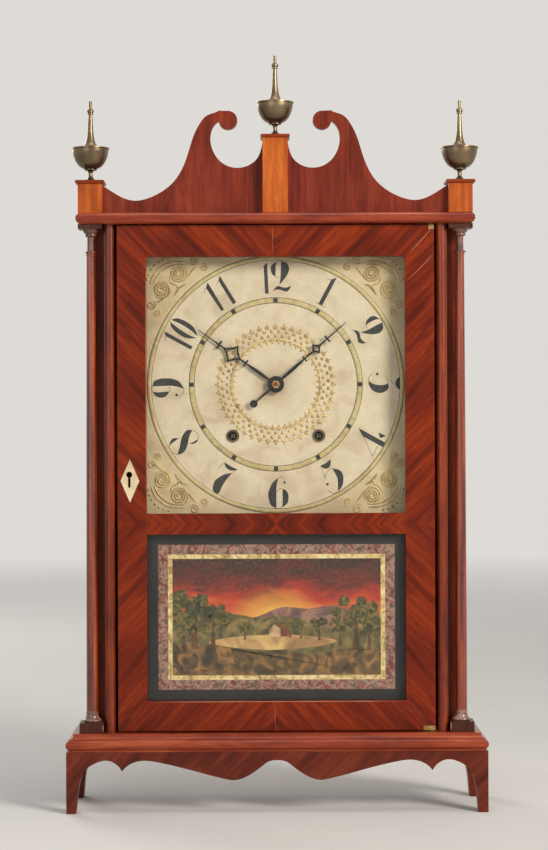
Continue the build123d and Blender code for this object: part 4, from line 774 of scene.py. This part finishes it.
def layer(name, material, *shapes, low=0.0):
    """Flat paint on the tablet, from pairs of an outline and its thickness."""
    paint = Relief(PAINT_Y, picture_middle)
    for outline, height in shapes:
        paint.plate(outline, low, height)
    paint.done(name, material, "door", soft=False)


def border(name, outer, inner, material):
    """A painted frame between two insets from the edge of the glass."""
    sides = []
    out_u, out_v = half_width - outer, half_height - outer
    in_u, in_v = half_width - inner, half_height - inner
    for turn in range(4):
        corners = [(-out_u, -out_v), (out_u, -out_v), (in_u, -in_v), (-in_u, -in_v)]
        if turn % 2:
            corners = [(-out_u, -out_v), (-in_u, -in_v), (-in_u, in_v), (-out_u, out_v)]
        side = -1 if turn > 1 else 1
        sides.append(([(u * side, v * side) for u, v in corners], BORDER))
    layer(name, material, *sides)


def marbled():
    """Worn pink, grey and red marbling."""
    m = Finish("marbled_paint", coat=0.3)
    swirl = m.noise(85.0, detail=6.0, distortion=2.2)
    wear = m.noise(190.0, detail=5.0)
    colour = m.ramp(
        swirl, (0.3, srgb(84, 34, 26)), (0.42, srgb(138, 70, 56)), (0.52, srgb(164, 132, 112)),
        (0.62, srgb(104, 86, 74)), (0.74, srgb(128, 50, 36)),
    )
    colour = m.mix(m.span(wear, 0.5, 0.64, 0.0, 0.7), colour, srgb(66, 50, 42))
    m.bump(swirl, 0.0001, 0.3)
    return m.done(colour, m.span(wear, 0.3, 0.7, 0.3, 0.5))


def painted_sky():
    """An evening sky: dusky above, red and then yellow towards the hills, with soft clouds."""
    m = Finish("painted_sky", coat=0.3)
    x, y, z = m.parts(m.place)
    height = m.span(z, picture_middle - 0.02, PICTURE_HIGH - 0.026)
    cloud = m.noise(1.0, m.vector(m.sum("MULTIPLY", x, 26.0), 0.0, m.sum("MULTIPLY", z, 62.0)), 6.0, 0.8)
    shifted = m.sum("MULTIPLY_ADD", m.sum("SUBTRACT", cloud, 0.5), 0.7, height)
    colour = m.ramp(
        shifted, (0.05, srgb(214, 160, 84)), (0.26, srgb(206, 104, 52)), (0.48, srgb(176, 46, 26)),
        (0.68, srgb(96, 26, 18)), (0.95, srgb(46, 24, 20)),
    )
    brush = m.noise(320.0, detail=4.0)
    colour = m.mix(m.span(brush, 0.45, 0.75, 0.0, 0.3), colour, srgb(150, 112, 70))
    low = m.sum("SUBTRACT", z, picture_middle - 0.004)
    flattened = m.sum("MULTIPLY", m.sum("MULTIPLY", low, low), 2.2)
    reach = m.sum("SQRT", m.sum("ADD", m.sum("MULTIPLY", x, x), flattened))
    glow = m.span(m.sum("MULTIPLY_ADD", cloud, 0.012, reach), 0.012, 0.06, 0.85, 0.0)
    colour = m.mix(glow, colour, srgb(232, 190, 84))
    m.bump(brush, 0.0001, 0.3)
    return m.done(colour, m.span(brush, 0.3, 0.7, 0.3, 0.5))


def brushwork(name, dark, middle, light, size=70.0):
    """Dabbed paint in three tones."""
    dark, middle, light = [srgb(*tone) for tone in (dark, middle, light)]
    m = Finish(name, coat=0.3)
    dab = m.noise(size, detail=7.0, distortion=1.2)
    fleck = m.noise(size * 6, detail=3.0)
    colour = m.ramp(dab, (0.34, dark), (0.5, middle), (0.66, light))
    colour = m.mix(m.span(fleck, 0.55, 0.72, 0.0, 0.4), colour, light)
    m.bump(dab, 0.0001, 0.4)
    return m.done(colour, m.span(fleck, 0.3, 0.7, 0.32, 0.52))


def hills(name, base, bumps, height, *tones):
    """A layer whose top runs in soft bumps from one side of the picture to the other."""
    top = []
    for i in range(HILL_STEPS + 1):
        u = reach_u * (2 * i / HILL_STEPS - 1)
        swell = sum(math.sin(u * f + p) * a for f, p, a in bumps)
        top.append((u, base + swell))
    outline = [(top[0][0], -reach_v), (top[-1][0], -reach_v), *reversed(top)]
    layer("tablet_" + name, brushwork(name, *tones), (outline, height))


def tree(u, v, size):
    """A trunk with a loose crown of dabs."""
    top = v + size * 0.7
    trunks.plate([(u - size * 0.05, v), (u + size * 0.07, v), (u + size * 0.03, top), (u, top)], 0.0, TREES)
    for _ in range(CROWN_DABS):
        angle, reach = dice.uniform(0, 2 * math.pi), dice.uniform(0, 0.36) * size
        cu, cv = u + reach * math.cos(angle) * 1.1, v + size * 0.72 + reach * math.sin(angle) * 0.8
        radius = dice.uniform(0.07, 0.14) * size
        rough = []
        for k in range(10):
            step = math.pi * k / 5
            wide, tall = dice.uniform(0.75, 1.2), dice.uniform(0.7, 1.1)
            rough.append((cu + radius * wide * math.cos(step), cv + radius * tall * math.sin(step)))
        crowns.plate(rough, 0.0, TREES + dice.uniform(0.0, 0.08))


whole = [(-reach_u, -reach_v), (reach_u, -reach_v), (reach_u, reach_v), (-reach_u, reach_v)]
layer("tablet_sky", painted_sky(), (whole, SKY), low=SKY_BACK)
black_ground = metal("black_ground", (14, 13, 12), (40, 36, 32), 0.0, (0.45, 0.65), 150.0)
cream_gold = brushwork("cream_gold", (150, 120, 66), (206, 178, 116), (232, 212, 160), 120.0)
border("tablet_black_border", BLACK_START, BLACK_END, black_ground)
border("tablet_marbled_border", BLACK_END, MARBLED_END, marbled())
border("tablet_gold_line", MARBLED_END, GOLD_END, cream_gold)
hills("far_hills", 4, ((0.03, 0.4, 7), (0.11, 1.0, 2.5)), FAR_HILLS,
      (96, 70, 66), (128, 92, 80), (158, 120, 96))
hills("near_hills", -5, ((0.022, 2.6, 8), (0.08, 0.3, 3), (0.31, 0.0, 0.8)), NEAR_HILLS,
      (60, 56, 34), (98, 88, 50), (136, 116, 66))
bank = smooth([
    (-72, -27), (-48, -21.5), (-20, -19.5), (10, -19), (40, -21),
    (64, -25), (52, -30), (20, -34), (-14, -35), (-50, -32),
], 5, closed=True)
layer("tablet_lake", brushwork("lake", (132, 98, 66), (176, 136, 88), (214, 176, 112), 26.0), (bank, LAKE))
hills("shore", -33, ((0.019, 4.2, 6), (0.09, 1.2, 2), (0.5, 0.4, 0.5)), SHORE,
      (50, 40, 24), (96, 72, 40), (150, 108, 58))
trunks, crowns = Relief(PAINT_Y, picture_middle), Relief(PAINT_Y, picture_middle)
for u, v, size in (
    (-88, -34, 62), (-68, -32, 44), (-99, -36, 40), (84, -34, 54), (98, -36, 42),
    (67, -31, 30), (14, -22, 20), (26, -23, 15), (-34, -24, 17), (45, -25, 24),
):
    tree(u, v, size)
trunks.done("tablet_trunks", brushwork("trunks", (44, 26, 16), (74, 44, 26), (110, 72, 42)), "door", soft=False)
crowns.done("tablet_crowns", brushwork("crowns", (34, 38, 20), (74, 72, 34), (130, 106, 50), 160.0), "door", soft=False)
layer("tablet_cottage", brushwork("cottage", (150, 116, 82), (196, 162, 118), (218, 190, 148)),
      ([(-8, -21), (4, -21), (4, -13), (-2, -8), (-8, -13)], COTTAGE))
layer("tablet_roof", brushwork("roof", (84, 40, 28), (126, 64, 42), (160, 92, 60)),
      ([(-2, -7), (5.5, -13.5), (15, -13.5), (9, -7)], ROOF),
      ([(4, -21), (13, -21), (13, -13.5), (5.5, -13.5)], SHED))

# Door and case: mitres, cracks and small losses in the veneer, with painted highlights along two lit lips of the door

FILM = 0.05  # height of a line on the veneer
EDGE_FILM = 0.08
SILL_HALF = 136.5  # half the length of the painted highlight along the lip under the picture


def between(start, end, share):
    """A point part of the way from start to end."""
    return tuple(a + (b - a) * share for a, b in zip(start, end))


mitres = Relief(DOOR_Y, 0.0)
losses_and_highlights = Relief(DOOR_Y, 0.0)
window_u = WINDOW_HALF / MM
door_u = door_high.x / MM
for side in (-1, 1):
    for z_inner, z_outer in ((WINDOW_HIGH / MM, door_high.z / MM), (PICTURE_LOW / MM, door_low.z / MM)):
        inner, outer = (side * window_u, z_inner), (side * door_u, z_outer)
        path = [between(inner, outer, share) for share in (0.02, 0.3, 0.6, 0.97)]
        mitres.ridge(path, 0.45, FILM, taper=0, ribs=3)
# Upright cracks: the place across the door, and the heights where each starts and ends
for kind, u, low, high in (
    (losses_and_highlights, -3, 588.5, 618), (losses_and_highlights, -2, 86, 113), (mitres, -61, 295, 309),
    (mitres, 22, 297, 312), (mitres, 74, 294, 306), (mitres, -104, 299, 311),
):
    path = [(u + dice.uniform(-0.4, 0.4), low + (high - low) * s / 6) for s in range(7)]
    kind.ridge(path, 0.4, FILM, ribs=3)
# Two slanting losses at the upper right corner
for start, end in (((167.0, 617.5), (140.5, 588.0)), ((167.4, 588.5), (139.5, 560.0))):
    path = []
    for i in range(7):
        u, z = between(start, end, i / 6)
        path.append((u + dice.uniform(-0.5, 0.5), z))
    losses_and_highlights.ridge(path, 0.6, 0.06, ribs=3)
# Painted highlights: pale lines along the lip under the picture and up the left jamb of the dial window, where light
# catches the edge
sill_z, jamb_u = PICTURE_LOW / MM - 0.5, -window_u - 0.4
for start, end, width in (
    ((-SILL_HALF, sill_z), (SILL_HALF, sill_z), 0.8),
    ((jamb_u, WINDOW_LOW / MM), (jamb_u, WINDOW_HIGH / MM), 0.7),
):
    path = [between(start, end, i / 6) for i in range(7)]
    losses_and_highlights.ridge(path, width, EDGE_FILM, ribs=3, taper=0.05)
mitres.done("door_mitres", crack_dark, "door", soft=False)
losses_and_highlights.done("door_losses_and_highlights", pale_loss_and_highlight, "door", soft=False)

BLOCK_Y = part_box("pillar_blocks")[0].y
BEAD_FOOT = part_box("bead_strips")[0].z / MM
CHIP_U = 183.9
chips = Relief(BLOCK_Y, 0.0)
for side, low, high in ((-1, 1.2, 9.0), (1, 1.4, 10.2)):
    path = [(side * CHIP_U, BEAD_FOOT + low + (high - low) * i / 4) for i in range(5)]
    chips.ridge(path, 0.9, 0.12, ribs=3)
chips.done("block_chips", pale_loss_and_highlight, "case", soft=False)

# Cords: three strands laid round each other

CORD_RADIUS = 1.0
LAY = 5.5  # the cord's length in one turn of its strands
STRAND_SHARE = 0.52  # a strand's radius as a share of the cord's


def laid_cord(name, path, node, strands=3, sides=6):
    """A twisted cord along a path of (x, z) points in millimetres at the drums' depth."""
    mesh = bmesh.new()
    strand_radius = CORD_RADIUS * STRAND_SHARE
    offset = CORD_RADIUS - strand_radius
    y = (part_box(node)[0].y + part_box(node)[1].y) / 2
    travelled = [0.0]
    for a, b in zip(path, path[1:]):
        travelled.append(travelled[-1] + math.dist(a, b))
    for strand in range(strands):
        rings_of = []
        for i, (x, z) in enumerate(path):
            before, after = path[max(i - 1, 0)], path[min(i + 1, len(path) - 1)]
            du, dv = after[0] - before[0], after[1] - before[1]
            size = math.hypot(du, dv)
            side = Vector((-dv / size, 0, du / size))
            out = Vector((0, 1, 0))
            turn = 2 * math.pi * (travelled[i] / LAY + strand / strands)
            middle = Vector((x, y / MM, z)) + (side * math.cos(turn) + out * math.sin(turn)) * offset
            ring = []
            for k in range(sides):
                angle = 2 * math.pi * k / sides
                away = (side * math.cos(angle) + out * math.sin(angle)) * strand_radius
                ring.append(mesh.verts.new((middle + away) * MM))
            rings_of.append(ring)
        for first, second in zip(rings_of, rings_of[1:]):
            for k in range(sides):
                j = (k + 1) % sides
                mesh.faces.new((first[k], first[j], second[j], second[k]))
        mesh.faces.new(rings_of[0])
        mesh.faces.new(list(reversed(rings_of[-1])))
    piece = finished(mesh, name, cord_fibre)
    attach(piece, "case")
    return piece


def middle_of(node):
    """The place (x, z) of a piece's middle, in millimetres."""
    low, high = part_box(node)
    return ((low.x + high.x) / 2 / MM, (low.z + high.z) / 2 / MM)


def straight(start, end, step=0.9):
    """Points on a straight run, about step apart."""
    count = max(2, int(math.dist(start, end) / step))
    return [between(start, end, i / count) for i in range(count + 1)]


DRUM_REACH = 10.5  # from the middle of a drum or pulley to the middle of the cord on it
PULLEY_REACH = 10.0
for side, train in ((1, "time"), (-1, "strike")):
    drum, pulley = middle_of(train + "_drum"), middle_of(train + "_pulley")
    drum, pulley = (drum[0] * side, drum[1]), (pulley[0] * side, pulley[1])
    slope = math.atan2(pulley[1] - drum[1], pulley[0] - drum[0])
    lean = slope - math.acos((DRUM_REACH + PULLEY_REACH) / math.dist(drum, pulley))
    off_drum = (drum[0] + DRUM_REACH * math.cos(lean), drum[1] + DRUM_REACH * math.sin(lean))
    on_pulley = (pulley[0] - PULLEY_REACH * math.cos(lean), pulley[1] - PULLEY_REACH * math.sin(lean))
    over = circle(*pulley, PULLEY_REACH, 30, math.degrees(lean) + 180, 0)
    route = straight(off_drum, on_pulley)[:-1] + over
    cord = laid_cord(train + "_cord_over_pulley", [(x * side, z) for x, z in route], "cords")
    if side == 1:
        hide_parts("cords")
    fall_low, fall_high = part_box(train + "_cord_fall")
    top = (pulley[0] + PULLEY_REACH, fall_high.z / MM)
    foot = (top[0], fall_low.z / MM)
    fall = laid_cord(train + "_cord_hanging", [(x * side, z) for x, z in straight(top, foot)], train + "_cord_fall")
    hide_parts(train + "_cord_fall")
    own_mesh(fall)

# Floor, light and camera

FLOOR_RADIUS = 14.0
STUDIO_NEAR, STUDIO_FAR = 1.3, 4.5  # where the floor starts to fade into the backdrop, and where it has
BACKDROP = srgb(222, 219, 214)


def seen_directly(tree):
    """1 for rays that show the background: from the camera, a mirror or glass."""
    rays = tree.nodes.new("ShaderNodeLightPath")
    total = rays.outputs["Is Camera Ray"]
    for name in ("Is Glossy Ray", "Is Transmission Ray"):
        node = tree.nodes.new("ShaderNodeMath")
        node.operation = "MAXIMUM"
        tree.links.new(total, node.inputs[0])
        tree.links.new(rays.outputs[name], node.inputs[1])
        total = node.outputs[0]
    return total


def floor():
    """A pale round floor that fades into the backdrop's colour far from the clock."""
    m = Finish("pale_floor")
    cloud = m.noise(3.0)
    m.bump(m.noise(60.0), 0.0005, 0.1)
    m.done(m.ramp(cloud, (0.3, srgb(210, 207, 202)), (0.7, srgb(217, 214, 209))), m.span(cloud, 0.3, 0.7, 0.7, 0.85))
    x, y, z = m.parts(m.place)
    fade = m.sum("MULTIPLY", m.span(m.reach(x, y), STUDIO_NEAR, STUDIO_FAR), seen_directly(m.tree))
    glow = m.tree.nodes.new("ShaderNodeEmission")
    glow.inputs["Color"].default_value = BACKDROP
    mixer = m.tree.nodes.new("ShaderNodeMixShader")
    m.put(mixer.inputs[0], fade)
    m.put(mixer.inputs[1], m.shader.outputs[0])
    m.put(mixer.inputs[2], glow.outputs[0])
    m.put(m.tree.nodes["Material Output"].inputs["Surface"], mixer.outputs[0])
    mesh = bpy.data.meshes.new("floor")
    mesh.from_pydata([(x, y, 0) for x, y in circle(0, 0, FLOOR_RADIUS, 64)], [], [range(64)])
    mesh.materials.append(m.material)
    piece = bpy.data.objects.new("floor", mesh)
    bpy.context.scene.collection.objects.link(piece)


floor()
AIM = Vector((0.0, 0.0, 0.42))
WARM, COOL, SOFT = (1.0, 0.96, 0.9), (0.92, 0.96, 1.0), (1.0, 0.98, 0.95)
# Name, place, width and height in metres, power in watts, and colour
LAMPS = (
    ("key", (1.7, -1.9, 1.45), 0.8, 0.8, 68.0, WARM),
    ("fill", (-1.3, -2.6, 0.9), 1.4, 1.4, 11.0, COOL),
    ("top", (0.2, -0.3, 2.4), 1.4, 1.0, 13.0, SOFT),
    ("rear", (-1.4, 2.2, 1.5), 1.2, 1.2, 26.0, SOFT),
)
for name, place, width, height, power, colour in LAMPS:
    light = bpy.data.lights.new(name, "AREA")
    light.shape = "RECTANGLE"
    light.size, light.size_y = width, height
    light.energy = power
    light.color = colour
    piece = bpy.data.objects.new(name, light)
    piece.location = place
    piece.rotation_euler = (AIM - Vector(place)).to_track_quat("-Z", "Y").to_euler()
    bpy.context.scene.collection.objects.link(piece)

AMBIENT = (0.84, 0.85, 0.88, 1.0)
AMBIENT_STRENGTH = 0.3
world = bpy.data.worlds.new("studio")
world.use_nodes = True
sky = world.node_tree
ambient = sky.nodes["Background"]
ambient.inputs["Color"].default_value = AMBIENT
ambient.inputs["Strength"].default_value = AMBIENT_STRENGTH
backdrop = sky.nodes.new("ShaderNodeBackground")
backdrop.inputs["Color"].default_value = BACKDROP
either = sky.nodes.new("ShaderNodeMixShader")
sky.links.new(seen_directly(sky), either.inputs[0])
sky.links.new(ambient.outputs[0], either.inputs[1])
sky.links.new(backdrop.outputs[0], either.inputs[2])
sky.links.new(either.outputs[0], sky.nodes["World Output"].inputs["Surface"])
bpy.context.scene.world = world
bpy.context.scene.view_settings.view_transform = "Standard"

# The camera was fitted to the photograph's corners, with the image taken as 548 by 850 pixels.
IMAGE_HEIGHT = 850
FOCAL_PIXELS = 2181.8
CAMERA_PLACE = Vector((-0.0174, -2.3494, 0.4065))
YAW, PITCH, ROLL = (math.radians(a) for a in (-0.377, 0.035, -0.201))
SENSOR = 36.0

turned = Matrix.Rotation(YAW, 4, "Z") @ Matrix.Rotation(math.pi / 2 + PITCH, 4, "X") @ Matrix.Rotation(ROLL, 4, "Z")
lens = bpy.data.cameras.new("camera")
lens.sensor_fit = "VERTICAL"
lens.sensor_height = SENSOR
lens.lens = SENSOR * FOCAL_PIXELS / IMAGE_HEIGHT
lens.clip_start = 0.05
lens.clip_end = 20.0
camera = bpy.data.objects.new("camera", lens)
camera.matrix_world = Matrix.Translation(CAMERA_PLACE) @ turned
bpy.context.scene.collection.objects.link(camera)
bpy.context.scene.camera = camera

bpy.context.view_layer.update()
